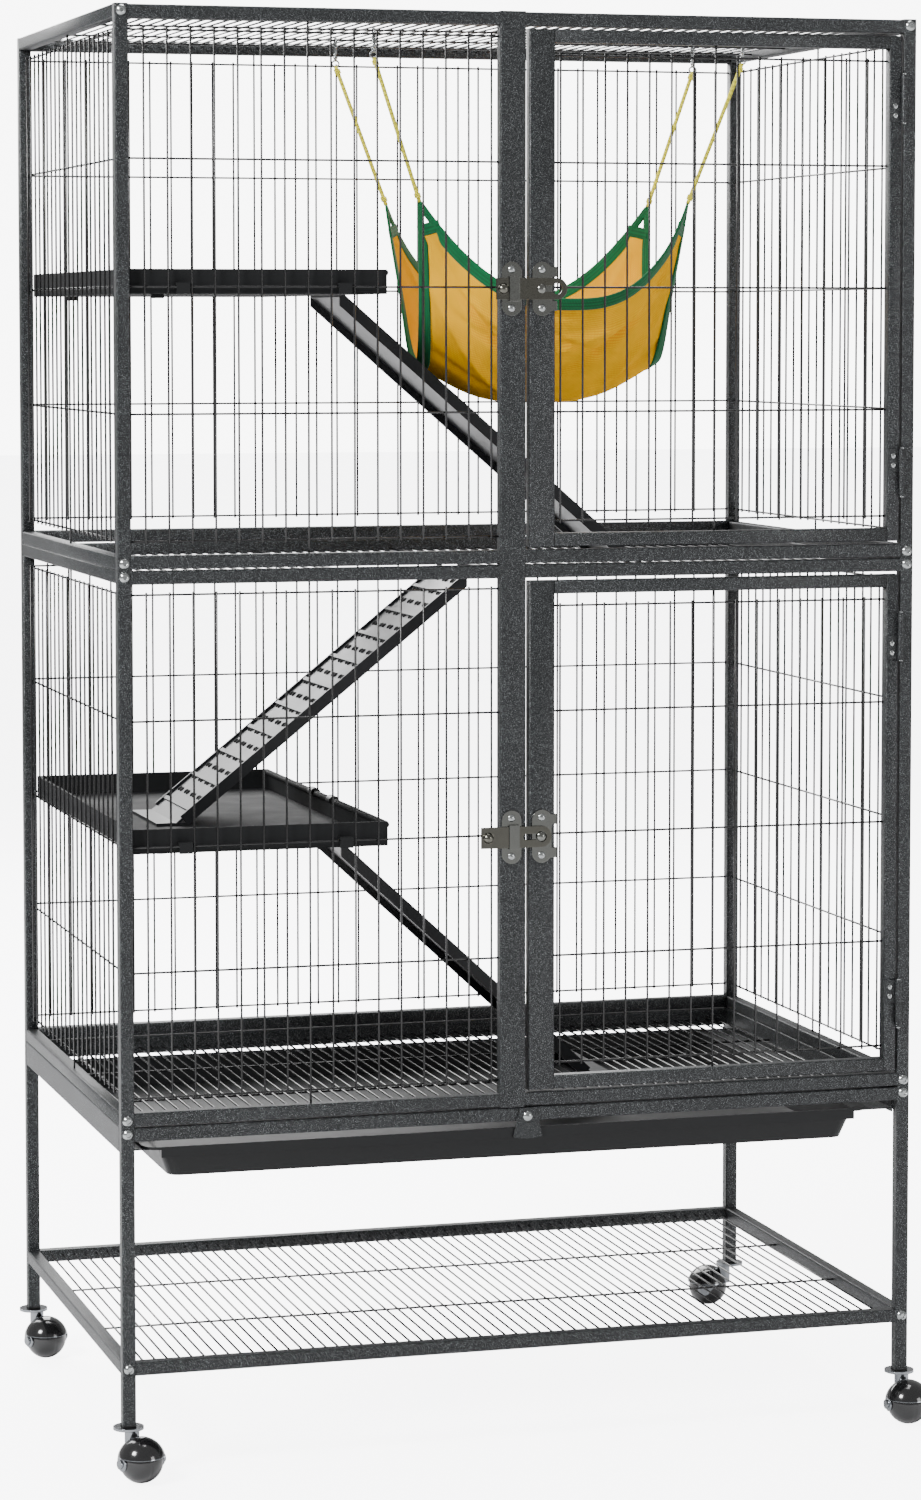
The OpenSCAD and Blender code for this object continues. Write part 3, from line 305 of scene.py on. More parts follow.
def plated(name, colour, roughness, grain_mm, uneven):
    """Plated steel: bright metal with a faint grain left by rolling and polishing. The Bevel node
    rounds the stamped edges, which catch a thin line of light."""
    material, shader, place = blank(name, Metallic=1.0)
    grain = add(material, "TexNoise", {
        "Vector": place, "Scale": 1 / (grain_mm * MM), "Detail": 4.0}).outputs["Fac"]
    rough = add(material, "MapRange", {
        "Value": grain, "To Min": roughness * (1 - uneven), "To Max": roughness * (1 + uneven)})
    edge = add(material, "Bevel", {"Radius": 0.45 * MM}, samples=6)
    marks = add(material, "Bump", {
        "Height": grain, "Distance": 0.02 * MM, "Strength": 0.3, "Normal": edge.outputs["Normal"]})
    feed(shader, Roughness=rough.outputs["Result"], Normal=marks.outputs["Normal"],
         Base_Color=shaded(material, linear(colour), grain, 0.85, 1.1))
    return material


def moulded(name, colour, roughness, grain_mm, depth_mm, coat=0.0, gloss=0.5):
    """Moulded plastic: a fine, even texture from the mould and slightly cloudy gloss."""
    material, shader, place = blank(
        name, Coat_Weight=coat, Coat_Roughness=0.12, Specular_IOR_Level=gloss)
    grain = add(material, "TexVoronoi", {"Vector": place, "Scale": 1 / (grain_mm * MM)})
    cloud = add(material, "TexNoise", {
        "Vector": place, "Scale": 1 / (45 * MM), "Detail": 3.0}).outputs["Fac"]
    rough = add(material, "MapRange", {
        "Value": cloud, "To Min": roughness * 0.8, "To Max": roughness * 1.2})
    pits = add(material, "Bump", {
        "Height": grain.outputs["Distance"], "Distance": depth_mm * MM, "Strength": 0.5})
    feed(shader, Roughness=rough.outputs["Result"], Normal=pits.outputs["Normal"],
         Base_Color=shaded(material, linear(colour), cloud, 0.85, 1.15))
    return material


def woven(name, colour, shadow, thread_mm, sheen):
    """Plain-woven cloth: warp and weft threads that cross, from two waves on the cloth's own UVs,
    which are in metres. The threads are drawn coarser than real ones so that they show."""
    material, shader, _ = blank(name, Roughness=0.95, Specular_IOR_Level=0.05,
                                Sheen_Weight=sheen, Sheen_Roughness=0.4)
    flat = add(material, "UVMap").outputs["UV"]
    # A wave repeats after 2 pi / 20 over its scale, and holds one thread over and one under
    scale = math.pi / (20 * thread_mm * MM)
    warp, weft = (
        add(material, "TexWave", {"Vector": flat, "Scale": scale, "Distortion": 0.3},
            bands_direction=way) for way in "XY")
    cross = add(material, "Math", {0: warp.outputs["Fac"], 1: weft.outputs["Fac"]},
                operation="MULTIPLY").outputs[0]
    # Painted shade: large blotches, darker down to 60% and lighter up to 130% of the cloth's
    # colour, stand in for the shade of its folds; they lie at random, not on the creases
    cloud = add(material, "TexNoise", {"Vector": flat, "Scale": 1 / (45 * MM), "Detail": 5.0})
    base = add(material, "Mix", {
        MIX_A: linear(shadow), MIX_B: colour, "Factor": cross}, data_type="RGBA")
    weave = add(material, "Bump", {"Height": cross, "Distance": 0.2 * MM, "Strength": 0.6})
    feed(shader, Normal=weave.outputs["Normal"],
         Base_Color=shaded(material, base.outputs[MIX_OUT], cloud.outputs["Fac"], 0.6, 1.3))
    return material


def braided(name, colour, shadow, strand_mm):
    """Braided cord: two sets of strands that wind round it in opposite ways, on UVs whose first
    value goes once round and whose second is the length in metres."""
    material, shader, _ = blank(name, Roughness=0.75, Sheen_Weight=0.2)
    flat = add(material, "SeparateXYZ", {"Vector": add(material, "UVMap").outputs["UV"]})
    wind = add(material, "Math", {0: flat.outputs["Y"], 1: 1 / (strand_mm * MM)},
               operation="MULTIPLY")
    strands = []
    for hand in (-1, 1):
        around = add(material, "Math", {0: flat.outputs["X"], 1: 2.0 * hand, 2: wind.outputs[0]},
                     operation="MULTIPLY_ADD")
        strands.append(add(material, "Math", {0: around.outputs[0], 1: 1.0}, operation="PINGPONG"))
    cross = add(material, "Math", {0: strands[0].outputs[0], 1: strands[1].outputs[0]},
                operation="MAXIMUM").outputs[0]
    base = add(material, "Mix", {
        MIX_A: linear(shadow), MIX_B: colour, "Factor": cross}, data_type="RGBA")
    ridges = add(material, "Bump", {"Height": cross, "Distance": 0.3 * MM, "Strength": 0.8})
    feed(shader, Base_Color=base.outputs[MIX_OUT], Normal=ridges.outputs["Normal"])
    return material


FINISHES = {}


def finish_of(name):
    """The finish of that name, made when it is first asked for."""
    looks = bpy.context.scene.cage_looks
    makers = {
        "frame": lambda: hammered_enamel(looks.frame_colour, linear("#B9BDC0")),
        "wire": lambda: gloss_enamel(looks.wire_colour),
        "nickel": lambda: plated("nickel_plate", "#66655E", 0.2, 1.2, 0.4),
        "dark_nickel": lambda: plated("black_nickel_plate", "#777874", 0.22, 1.2, 0.4),
        "zinc": lambda: plated("bright_zinc_plate", "#A4A7A7", 0.2, 0.8, 0.5),
        "chrome": lambda: plated("chrome_plate", "#8B8E92", 0.1, 3.0, 0.3),
        "abs": lambda: moulded("moulded_abs", "#131415", 0.72, 0.8, 0.1, 0.0, 0.2),
        "tread": lambda: moulded("glossy_abs", "#17181A", 0.32, 0.8, 0.04, 0.0, 0.4),
        "tray": lambda: moulded("moulded_polypropylene", "#141516", 0.42, 1.1, 0.08, 0.0, 0.25),
        "socket": lambda: moulded("moulded_nylon", "#161616", 0.5, 0.7, 0.03),
        "ball": lambda: moulded("polished_nylon", "#141415", 0.14, 2.0, 0.005, 0.5),
        "cloth": lambda: woven("woven_nylon", looks.cloth_colour, "#E89E00", 0.9, 0.0),
        "binding": lambda: woven("woven_tape", looks.binding_colour, "#1B5535", 0.8, 0.3),
        "cord": lambda: braided("braided_cord", looks.cord_colour, "#B0A62A", 2.4),
    }
    if name not in FINISHES:
        FINISHES[name] = makers[name]()
    return FINISHES[name]


def paint(piece, name):
    """Gives a piece one finish."""
    piece.data.materials.clear()
    piece.data.materials.append(finish_of(name))
    return piece


def fit(piece, finish, body, slot, *nodes):
    """Paints a piece, makes it ride on a body and has it stand for the nodes. The slot is not used.
    """
    paint(piece, finish)
    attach(piece, body)
    if nodes:
        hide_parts(*nodes)
    return piece


# ---------------------------------------------------------------- the cage's places

WIDTH, DEPTH, SECTION, STAND = 787.4 * MM, 508 * MM, 520 * MM, 331.6 * MM
POST_X, POST_Y = WIDTH / 2 - TUBE / 2, DEPTH / 2 - TUBE / 2
IN_X, IN_Y = WIDTH / 2 - TUBE, DEPTH / 2 - TUBE
BASES = {"lower": STAND, "upper": STAND + SECTION}
TOP = STAND + 2 * SECTION
POST_LEFT = -25.7 * MM  # the centre post's left side
# Heights of a section's cross wires over its base, and how far the uprights pass the last ones
ROWS = np.array([26.2, 143.8, 261.4, 379.0, 496.6]) * MM
TAIL = 2.5 * MM
FIELD_Z = {name: base - 11.6 * MM for name, base in BASES.items()}
ROOF_Z = TOP - 6 * MM
RAIL_IN = TUBE + 0.7 * MM  # the rails' inner side, from a section's end
SHELF_Z = 109.5 * MM - TUBE / 2 + 1 * MM
# Cross wires under the roof, the floors and the shelf, by their Y
ROOF_CROSSES = np.array([-175, -75, 75, 175]) * MM
FLOOR_CROSSES = np.array([-207, -50, 107]) * MM
SHELF_CROSSES = np.array([-1, 1]) * TUBE * 6.6
# The opening in the upper floor: left, right, front, back, and the ramp's slack at its right
HOLE = np.array([-146.5, -1.5, -104, 86]) * MM
HOLE_SLACK = 4 * MM
DOOR_X = (3.0 * MM, 379.0 * MM)
DOOR_Z = (16.2 * MM, 503.8 * MM)
STILE = 25.4 * MM
# First wires of the front grille and of a door, and a door's end rows from its ends
FRONT_FIRST, DOOR_FIRST, DOOR_ROW = 14.7 * MM, 6.5 * MM, 24.3 * MM


def wall_wires(low, high, uprights, rows, nubs, ends):
    """Ends of the wires of one wall, in its own plane: (along, out, up). The cross wires lie on
    out = 0 from low to high, and the uprights lie in front of them. Those in nubs reach ends."""
    uprights = np.asarray(uprights)
    up = np.zeros((len(uprights), 3))
    up[:, 0], up[:, 1], up[:, 2] = uprights, WELD - WIRE, rows[0] - TAIL
    to = up.copy()
    to[:, 2] = rows[-1] + TAIL
    up[nubs, 2], to[nubs, 2] = ends
    cross = np.array([[low, 0, z] for z in rows])
    over = np.array([[high, 0, z] for z in rows])
    return np.concatenate([up, cross]), np.concatenate([to, over])


def floor_wires(x0, x1, y0, y1, z, crosses):
    """Ends of the close-set wires of one floor field and of the cross wires under them."""
    i = np.arange(math.ceil((x0 + WIRE) / FLOOR_PITCH), math.floor((x1 - WIRE) / FLOOR_PITCH) + 1)
    x = i * FLOOR_PITCH
    start = np.stack([x, np.full(len(x), y0), np.full(len(x), z)], 1)
    end = start.copy()
    end[:, 1] = y1
    rows = np.array([y for y in crosses if y0 + WIRE < y < y1 - WIRE])
    low = np.stack([np.full(len(rows), x0), rows, np.full(len(rows), z - WIRE + WELD)], 1)
    high = low.copy()
    high[:, 0] = x1
    return np.concatenate([start, low]), np.concatenate([end, high])


def section_tube(width, length):
    """A tube along +Z from 0 to length, TUBE along Y, with round corners and chamfered ends."""
    radius, chamfer = 1.6 * MM, 0.3 * MM
    angle = np.linspace(0, math.pi / 2, 5)[None] + np.arange(4)[:, None] * math.pi / 2
    inward = np.stack([np.cos(angle), np.sin(angle)], -1)
    corners = np.array([(1, 1), (-1, 1), (-1, -1), (1, -1)])
    centres = corners * [width / 2 - radius, TUBE / 2 - radius]
    outline = (centres[:, None] + radius * inward).reshape(-1, 2)
    inward = inward.reshape(-1, 2)
    rings = [(0.0, chamfer), (chamfer, 0.0), (length - chamfer, 0.0), (length, chamfer)]
    return np.stack([np.column_stack([outline - inward * inset, np.full(len(outline), z)])
                     for z, inset in rings])


def tubes(name, bars):
    """Square tubes with closed ends, all in one mesh. Each bar is (start, end, width): its other
    side is TUBE, along Z, or along Y where the tube stands upright."""
    points, faces, count = [], [], 0
    for start, end, width in bars:
        start, end = np.array(start), np.array(end)
        length = np.linalg.norm(end - start)
        way = (end - start) / length
        up = np.array([0, 1.0, 0] if abs(way[2]) > 0.9 else [0, 0, 1.0])
        local = section_tube(width, length)
        world = start + local @ np.stack([np.cross(up, way), up, way])
        points.append(world.reshape(-1, 3))
        faces.append(grid_faces(*local.shape[:2], close_columns=True) + count)
        count += len(points[-1])
    piece = put_mesh(name, np.concatenate(points), np.concatenate(faces))
    close_ends(piece)
    return piece


def side_wall(points, s):
    """Wall points (along, out, up) turned a right angle, for the left (s = -1) or right wall."""
    return points[:, [1, 0, 2]] * [-s, s, 1]


# ---------------------------------------------------------------- hammock


def cloth(u, v):
    """The hung cloth's middle surface, as in the part's source: u runs along X and v along Y, from
    -1 to 1; the sides and ends sag as powers of v and u, the belly sags in the middle."""
    au, av = np.abs(u), np.abs(v)
    x = 87.5 + u * (141.5 - 14 * (1 - v * v))
    y = v * (60 + 65 * np.power(np.maximum(1 - u * u, 0), 0.8))
    z = 1206 - 172 * (1 - av ** 1.7) - 103 * (1 - au ** 2.6) + 67 * (1 - v * v) * (1 - au ** 3)
    fold = 5 * u * u * (1 - v * v) * np.cos(3 * math.pi * v)
    fold = fold + 2.5 * (1 - u * u) * (1 - v * v) * np.cos(math.radians(300) * u)
    return np.stack([x, y, z + fold], -1) * MM


# Creases of the hung cloth: both ends and the half width on u and v, and the depth in millimetres
CREASES = [
    (-0.95, -0.93, 0.10, -0.25, 0.034, 6.0), (-0.98, -0.72, -0.10, -0.05, 0.036, -4.6),
    (-0.95, -0.85, 0.35, -0.60, 0.030, -4.4), (-0.75, -0.98, 0.45, -0.84, 0.030, 3.6),
    (0.95, -0.93, -0.08, -0.38, 0.034, 6.2), (0.98, -0.70, 0.12, -0.08, 0.036, -4.8),
    (0.95, -0.82, -0.28, -0.70, 0.030, -4.0), (0.75, -0.98, -0.42, -0.88, 0.030, 3.4),
    (-0.95, 0.93, 0.0, 0.40, 0.036, 4.6), (0.95, 0.93, 0.1, 0.35, 0.036, 4.6),
    (-0.98, 0.15, -0.30, 0.05, 0.045, 3.6), (0.98, 0.10, 0.35, 0.0, 0.045, 3.6),
    (-0.35, -0.86, 0.55, -0.50, 0.026, 3.6), (0.40, -0.80, -0.50, -0.46, 0.026, -3.4),
    (-0.98, -0.38, -0.42, -0.24, 0.034, 4.0), (0.98, -0.40, 0.45, -0.26, 0.034, 4.2),
    (0.10, -0.62, 0.85, -0.74, 0.024, 3.2), (-0.10, -0.58, -0.85, -0.66, 0.024, 3.0),
]


def creased(u, v):
    """The cloth with its creases: each is a soft ridge or valley along a line on u and v that
    fades at both ends, laid on along the surface's upward normal."""
    e = 0.004  # step on u and v over which the slopes are taken
    along = cloth(u + e, v) - cloth(u - e, v)
    across = cloth(u, v + e) - cloth(u, v - e)
    normal = unit(np.cross(along, across))
    height = np.zeros(np.shape(u))
    for u0, v0, u1, v1, half, depth in CREASES:
        length = math.hypot(u1 - u0, v1 - v0)
        du, dv = (u1 - u0) / length, (v1 - v0) / length
        t = (u - u0) * du + (v - v0) * dv
        d = (u - u0) * dv - (v - v0) * du
        fade = np.clip(t / length, 0, 1) * np.clip(1 - t / length, 0, 1) * 4
        height = height + depth * MM * fade * np.exp(-(d / half) ** 2)
    return cloth(u, v) + normal * height[..., None], normal


CUT = 1.87  # where |u| + |v| passes this, a corner is cut away for its loop
EDGE = 0.995  # |u| and |v| at the cloth's edges


def cloth_sheet(name, thickness=1.0 * MM, n=200):
    """The cloth as a closed skin on an n x n grid over u and v, less its four cut corners."""
    line = np.linspace(-EDGE, EDGE, n + 1)
    u, v = np.meshgrid(line, line, indexing="ij")
    middle, normal = creased(u, v)
    quads = grid_faces(n + 1, n + 1)
    centre = np.abs(u.ravel()[quads]).mean(1) + np.abs(v.ravel()[quads]).mean(1)
    kept = quads[centre < CUT]
    m = (n + 1) ** 2
    points = np.concatenate([
        (middle + normal * thickness / 2).reshape(-1, 3),
        (middle - normal * thickness / 2).reshape(-1, 3)])
    edges = np.concatenate([kept[:, [k, (k + 1) % 4]] for k in range(4)])
    _, index, counts = np.unique(
        np.sort(edges, 1), axis=0, return_index=True, return_counts=True)
    rim = edges[index[counts == 1]]
    walls = np.stack([rim[:, 1], rim[:, 0], rim[:, 0] + m, rim[:, 1] + m], 1)
    faces = np.concatenate([kept, kept[:, ::-1] + m, walls])
    used = np.unique(faces)
    place = np.zeros(len(points), int)
    place[used] = np.arange(len(used))
    flat = np.stack([u * 0.17, v * 0.15], -1).reshape(-1, 2)
    flat = np.concatenate([flat, flat])
    return put_mesh(name, points[used], place[faces], uv=flat[faces])


def ribbon(path, across, normal, width, thickness):
    """Points of a flat band along a path: each ring is a rounded oblong of that width along across
    and that thickness along normal, a superellipse of power 4."""
    turn = np.linspace(0, 2 * math.pi, 16, endpoint=False)
    c, s = np.cos(turn), np.sin(turn)
    wide = np.sign(c) * np.sqrt(np.abs(c)) / 2 * np.broadcast_to(width, len(path))[:, None]
    thick = np.sign(s) * np.sqrt(np.abs(s)) * thickness / 2
    return (path[:, None] + wide[..., None] * across[:, None]
            + thick[None, :, None] * normal[:, None])


def band(name, path, across, normal, width, thickness, closed=False):
    """A flat band along a path as a mesh, with UVs in metres: along the path and round the band."""
    rings = ribbon(path, across, normal, width, thickness)
    sides = rings.shape[1]
    if not closed:
        rings = np.concatenate([np.repeat(path[:1], sides, 0)[None], rings,
                                np.repeat(path[-1:], sides, 0)[None]])
        path = np.concatenate([path[:1], path, path[-1:]])
    quads = grid_faces(len(rings), sides, close_rows=closed, close_columns=True)
    along = lengths_along(path)
    if closed:
        along = np.append(along, along[-1] + along[1])
    around = np.arange(sides + 1) * 2 * np.max(width) / sides
    return put_mesh(name, rings.reshape(-1, 3), quads, uv=wrapped_uv(around, along)[..., ::-1])


def edge_binding(name, width=14.5 * MM, thickness=2.6 * MM, n=640, corner=0.028):
    """The tape bound round the cloth's four edges and on over its corners as loops: a closed band
    on the rounded square that u and v draw, its width laid inward along the cloth."""
    side = EDGE - corner
    arcs = []
    for k, (su, sv) in enumerate([(1, 1), (-1, 1), (-1, -1), (1, -1)]):
        a = np.linspace(0, math.pi / 2, 14) + k * math.pi / 2
        arcs.append(np.stack([su * side + corner * np.cos(a), sv * side + corner * np.sin(a)], 1))
    corners = np.concatenate(arcs + [arcs[0][:1]])
    length = lengths_along(corners)
    t = np.linspace(0, length[-1], n, endpoint=False)
    u, v = np.interp(t, length, corners[:, 0]), np.interp(t, length, corners[:, 1])
    edge, normal = creased(u, v)
    ahead = np.roll(edge, -1, 0) - np.roll(edge, 1, 0)
    inward = unit(np.cross(normal, unit(ahead)))
    # The band narrows to 58% over the cut corners; 8% of it lies outside the cloth's edge
    loop = np.clip((np.abs(u) + np.abs(v) - CUT + 0.05) / 0.05, 0, 1)
    wide = width * (1 - 0.42 * loop * loop * (3 - 2 * loop))
    middle = edge + inward * wide[:, None] * 0.42
    return band(name, middle, inward, normal, wide, thickness, closed=True)


def corner_hems(name, width=12 * MM, thickness=2.6 * MM):
    """The four short bands across the cut corners, from one edge's binding to the other's."""
    made = []
    reach = CUT - EDGE
    for su in (-1, 1):
        for sv in (-1, 1):
            t = np.linspace(0.0, 1.0, 16)
            u = su * (EDGE * (1 - t) + reach * t)
            v = sv * (reach * (1 - t) + EDGE * t)
            line, normal = creased(u, v)
            across = np.cross(normal, unit(np.gradient(line, axis=0)))
            made.append(band("hem", line, across, normal, width, thickness))
    return joined(name, made)


# ---------------------------------------------------------------- operators


class CageLooks(bpy.types.PropertyGroup):
    """Sizes and colours of the pieces that this add-on makes."""

    frame_colour: FloatVectorProperty(
        name="Frame", description="Powder coat of the tubes", subtype="COLOR", size=4,
        min=0.0, max=1.0, default=linear("#17191A"))
    wire_colour: FloatVectorProperty(
        name="Wires", description="Powder coat of the wires", subtype="COLOR", size=4,
        min=0.0, max=1.0, default=linear("#0C0C0D"))
    cloth_colour: FloatVectorProperty(
        name="Cloth", description="Hammock cloth", subtype="COLOR", size=4,
        min=0.0, max=1.0, default=linear("#FFD600"))
    binding_colour: FloatVectorProperty(
        name="Binding", description="Tape round the hammock", subtype="COLOR", size=4,
        min=0.0, max=1.0, default=linear("#1A7A46"))
    cord_colour: FloatVectorProperty(
        name="Cord", description="Cords of the hammock", subtype="COLOR", size=4,
        min=0.0, max=1.0, default=linear("#F2EA36"))
    cord_diameter: FloatProperty(
        name="Cord diameter", description="Diameter of the hammock's cords", unit="LENGTH",
        default=4 * MM, min=2 * MM, max=6 * MM)
    wire_sides: IntProperty(
        name="Wire sides", description="Sides of each round wire", subtype="UNSIGNED",
        default=10, min=6, max=24)
    light_power: FloatProperty(
        name="Light", description="Strength of the room's even light", subtype="FACTOR",
        default=0.5, min=0.0, max=3.0)


class CagePiece:
    """What the operators share: they can be undone."""

    bl_options = {"REGISTER", "UNDO"}


PAPER_GLOW, SKY_GLOW = 6.6, 8.2  # strengths of the floor and the room as the lens sees them


def facing(side, up, back, place):
    """The matrix of a light or camera at a place, from its own right, up and backward vectors."""
    return Matrix([[*row] for row in zip(side, up, back, place)] + [[0, 0, 0, 1]])


def area_light(name, place, target, size, power):
    """A square area light that faces a target."""
    data = bpy.data.lights.new(name, "AREA")
    data.size, data.energy = size, power
    made = bpy.data.objects.new(name, data)
    bpy.context.scene.collection.objects.link(made)
    back = unit(np.subtract(place, target))
    side = unit(np.cross([0.0, 0.0, 1.0], back))
    made.matrix_world = facing(side, np.cross(back, side), back, place)
    return made


class CAGE_OT_stage(CagePiece, bpy.types.Operator):
    """Adds the pale floor, the soft studio lights and the photograph's camera"""

    bl_idname = "cage.stage"
    bl_label = "Stage and camera"

    def execute(self, context):
        reach = 30.0
        floor = put_mesh("studio_floor", np.array([
            (-reach, -reach, 0), (reach, -reach, 0), (reach, reach, 0), (-reach, reach, 0)]),
            [[0, 1, 2, 3]])
        paper, shader, place = blank("studio_paper", Roughness=0.9)
        cloud = add(paper, "TexNoise", {"Vector": place, "Scale": 2.0, "Detail": 2.0})
        tint = add(paper, "Mix", {
            MIX_A: linear("#F6F6F8"), MIX_B: linear("#FBFBFC"),
            "Factor": cloud.outputs["Fac"]}, data_type="RGBA").outputs[MIX_OUT]
        # The paper and the room glow for the lens alone, as a backdrop lit from behind does: they
        # stay pale in the picture and add no light to the cage.
        seen = add(paper, "LightPath").outputs["Is Camera Ray"]
        glow = add(paper, "Math", {0: seen, 1: PAPER_GLOW}, operation="MULTIPLY")
        feed(shader, Base_Color=tint, Emission_Color=tint, Emission_Strength=glow.outputs[0])
        floor.data.materials.append(paper)
        world = context.scene.world = bpy.data.worlds.new("studio")
        world.use_nodes = True
        sky = world.node_tree.nodes["Background"]
        sky.inputs["Color"].default_value = (1.0, 1.0, 1.0, 1.0)
        level = add(world, "MapRange", {
            "Value": add(world, "LightPath").outputs["Is Camera Ray"],
            "To Min": context.scene.cage_looks.light_power, "To Max": SKY_GLOW})
        feed(sky, Strength=level.outputs["Result"])
        lights = [
            area_light("key", (-2.6, -1.6, 2.6), (0, 0, 0.9), 0.9, 190),
            area_light("top", (0.3, 0.4, 3.6), (0, 0, 0.8), 1.6, 70),
            area_light("fill", (2.6, -3.0, 1.2), (0, 0, 0.7), 1.2, 30),
            area_light("back", (-0.4, 3.4, 3.0), (0, 0, 0.7), 3.0, 260),
        ]
        for light in lights:
            light.visible_camera = False
        data = bpy.data.cameras.new("photo_camera")
        camera = bpy.data.objects.new("photo_camera", data)
        context.scene.collection.objects.link(camera)
        camera.matrix_world = facing(
            CAMERA_RIGHT, CAMERA_UP, np.cross(CAMERA_RIGHT, CAMERA_UP), CAMERA_PLACE)
        width, height = PHOTO_SIZE
        data.sensor_width = SENSOR
        data.lens = PHOTO_FOCAL_PX * SENSOR / height
        data.shift_x = -(PHOTO_AXIS_PX[0] - width / 2) / height
        data.shift_y = (PHOTO_AXIS_PX[1] - height / 2) / height
        data.clip_start, data.clip_end = 0.1, 100.0
        data.dof.use_dof = False
        context.scene.camera = camera
        return {"FINISHED"}


HOOK_X = (-101.15 * MM, 279.65 * MM)
HOOK_Y = 75 * MM
HOOK_Z = 1337.95 * MM
CORNERS = [(i, s) for i in (0, 1) for s in (-1, 1)]
LOOP_AT = 0.985  # |u| and |v| of the loops' tops, where the cords end


def cord_line(i, s):
    """The straight run of one cord: from under its hook's ring to over its loop's top."""
    low = cloth(np.array((-LOOP_AT, LOOP_AT)[i]), np.array(s * LOOP_AT))
    high = np.array([HOOK_X[i], s * HOOK_Y, HOOK_Z])
    way = unit(high - low)
    t = np.linspace(0, 1, 24)[:, None]
    start, end = high - way * 0.4 * MM, low + way * 0.6 * MM
    return start * (1 - t) + end * t


def knot(centre, axis, size):
    """Three turns of thin cord wound round a cord of that size: a helix about an axis."""
    radius, pitch, turns, thick = size * 0.62, size * 0.4, 3, size * 0.42
    side, over = sides_along(np.stack([centre, centre + axis]))
    t = np.linspace(0, turns * 2 * math.pi, turns * 22)[:, None]
    path = centre + axis * (t / (2 * math.pi) * pitch)
    path = path + radius * (np.cos(t) * side[0] + np.sin(t) * over[0])
    return tube("knot", path, thick / 2, 10)


class CAGE_OT_cords(CagePiece, bpy.types.Operator):
    """Adds the hammock's four cords, each with a wound knot at both ends"""

    bl_idname = "cage.cords"
    bl_label = "Hammock cords"

    def execute(self, context):
        size = context.scene.cage_looks.cord_diameter
        for k, (i, s) in enumerate(CORNERS):
            name = f"hammock_cord_{k + 1}"
            path = cord_line(i, s)
            length = float(np.linalg.norm(path[-1] - path[0]))
            way = (path[-1] - path[0]) / length
            stands_for = ["hammock_cords"] if k == 0 else []
            piece = fit(tube(name, path, size / 2, 14), "cord", "cage", "hammock_cord", *stands_for)
            knots = joined(f"{name}_knots", [
                knot(path[0] + way * 3 * MM, way, size), knot(path[-1] - way * 9 * MM, way, size)])
            fit(knots, "cord", "cage", "hammock_cord")
        return {"FINISHED"}


class CAGE_OT_hammock(CagePiece, bpy.types.Operator):
    """Adds the cloth of the hammock with its creases, bound edges and corner loops"""

    bl_idname = "cage.hammock"
    bl_label = "Hammock"

    def execute(self, context):
        sheet = fit(cloth_sheet("hammock_cloth"), "cloth", "cage", "hammock_cloth", "hammock")
        bound = joined("hammock_binding", [edge_binding("edge"), corner_hems("hems")])
        fit(bound, "binding", "cage", "hammock_cloth")
        return {"FINISHED"}


# The snap hook in millimetres over its ring: the wires as points, the swivel as radius and height
HOOK_BODY = [
    (0, 0.0, 8.6), (0, 2.2, 9.6), (0, 3.4, 12), (0, 3.4, 18), (0, 3.4, 23.5), (0, 2.6, 26.6),
    (0, 0.4, 28.0), (0, -2.2, 27.2), (0, -3.4, 24.6), (0, -3.4, 22.0)]
HOOK_GATE = [(0, -3.3, 22.2), (0, -2.9, 16), (0, -1.6, 11)]
HOOK_THUMB = [(0, -3.0, 17.5), (0, -5.6, 17.9)]
HOOK_SWIVEL = [
    (0.01, 9.6), (1.6, 9.5), (2.3, 8.8), (2.3, 7.4), (1.5, 6.8), (1.5, 6.2), (2.2, 5.8), (2.2, 5.2),
    (0.01, 5.0)]


class CAGE_OT_hooks(CagePiece, bpy.types.Operator):
    """Adds the four snap hooks that hang the cords from the roof's cross wires"""

    bl_idname = "cage.hooks"
    bl_label = "Snap hooks"

    def execute(self, context):
        made = []
        for i, s in CORNERS:
            base = np.array([HOOK_X[i], s * HOOK_Y, HOOK_Z])
            side = np.array([1, s, 1]) * MM
            made += [
                tube("body", base + smooth_path(HOOK_BODY, 60) * side, 1.15 * MM, 14),
                tube("gate", base + smooth_path(HOOK_GATE, 20) * side, 0.8 * MM, 12),
                tube("thumb", base + np.array(HOOK_THUMB) * side, 0.75 * MM, 12),
                revolved("swivel", np.array(HOOK_SWIVEL) * MM, base, (0, 0, 1), 24)]
            a = np.linspace(0, 2 * math.pi, 41)
            ring = np.stack([np.sin(a) * 3.6, np.zeros(41), 2.2 - np.cos(a) * 2.9], 1) * MM
            made.append(tube("eye", base + ring, 0.85 * MM, 12))
        fit(joined("snap_hooks", made), "zinc", "cage", "hook_steel", "hammock_hooks")
        return {"FINISHED"}


def smooth_path(points, count):
    """A Catmull-Rom curve through points, sampled count times."""
    p = np.asarray(points, float)
    p = np.concatenate([2 * p[:1] - p[1:2], p, 2 * p[-1:] - p[-2:-1]])
    t = np.linspace(0, len(p) - 3 - 1e-9, count)
    k = t.astype(int)
    f = (t - k)[:, None]
    a, b, c, d = p[k], p[k + 1], p[k + 2], p[k + 3]
    return 0.5 * (2 * b + (c - a) * f + (2 * a - 5 * b + 4 * c - d) * f ** 2
                  + (3 * b - a - 3 * c + d) * f ** 3)


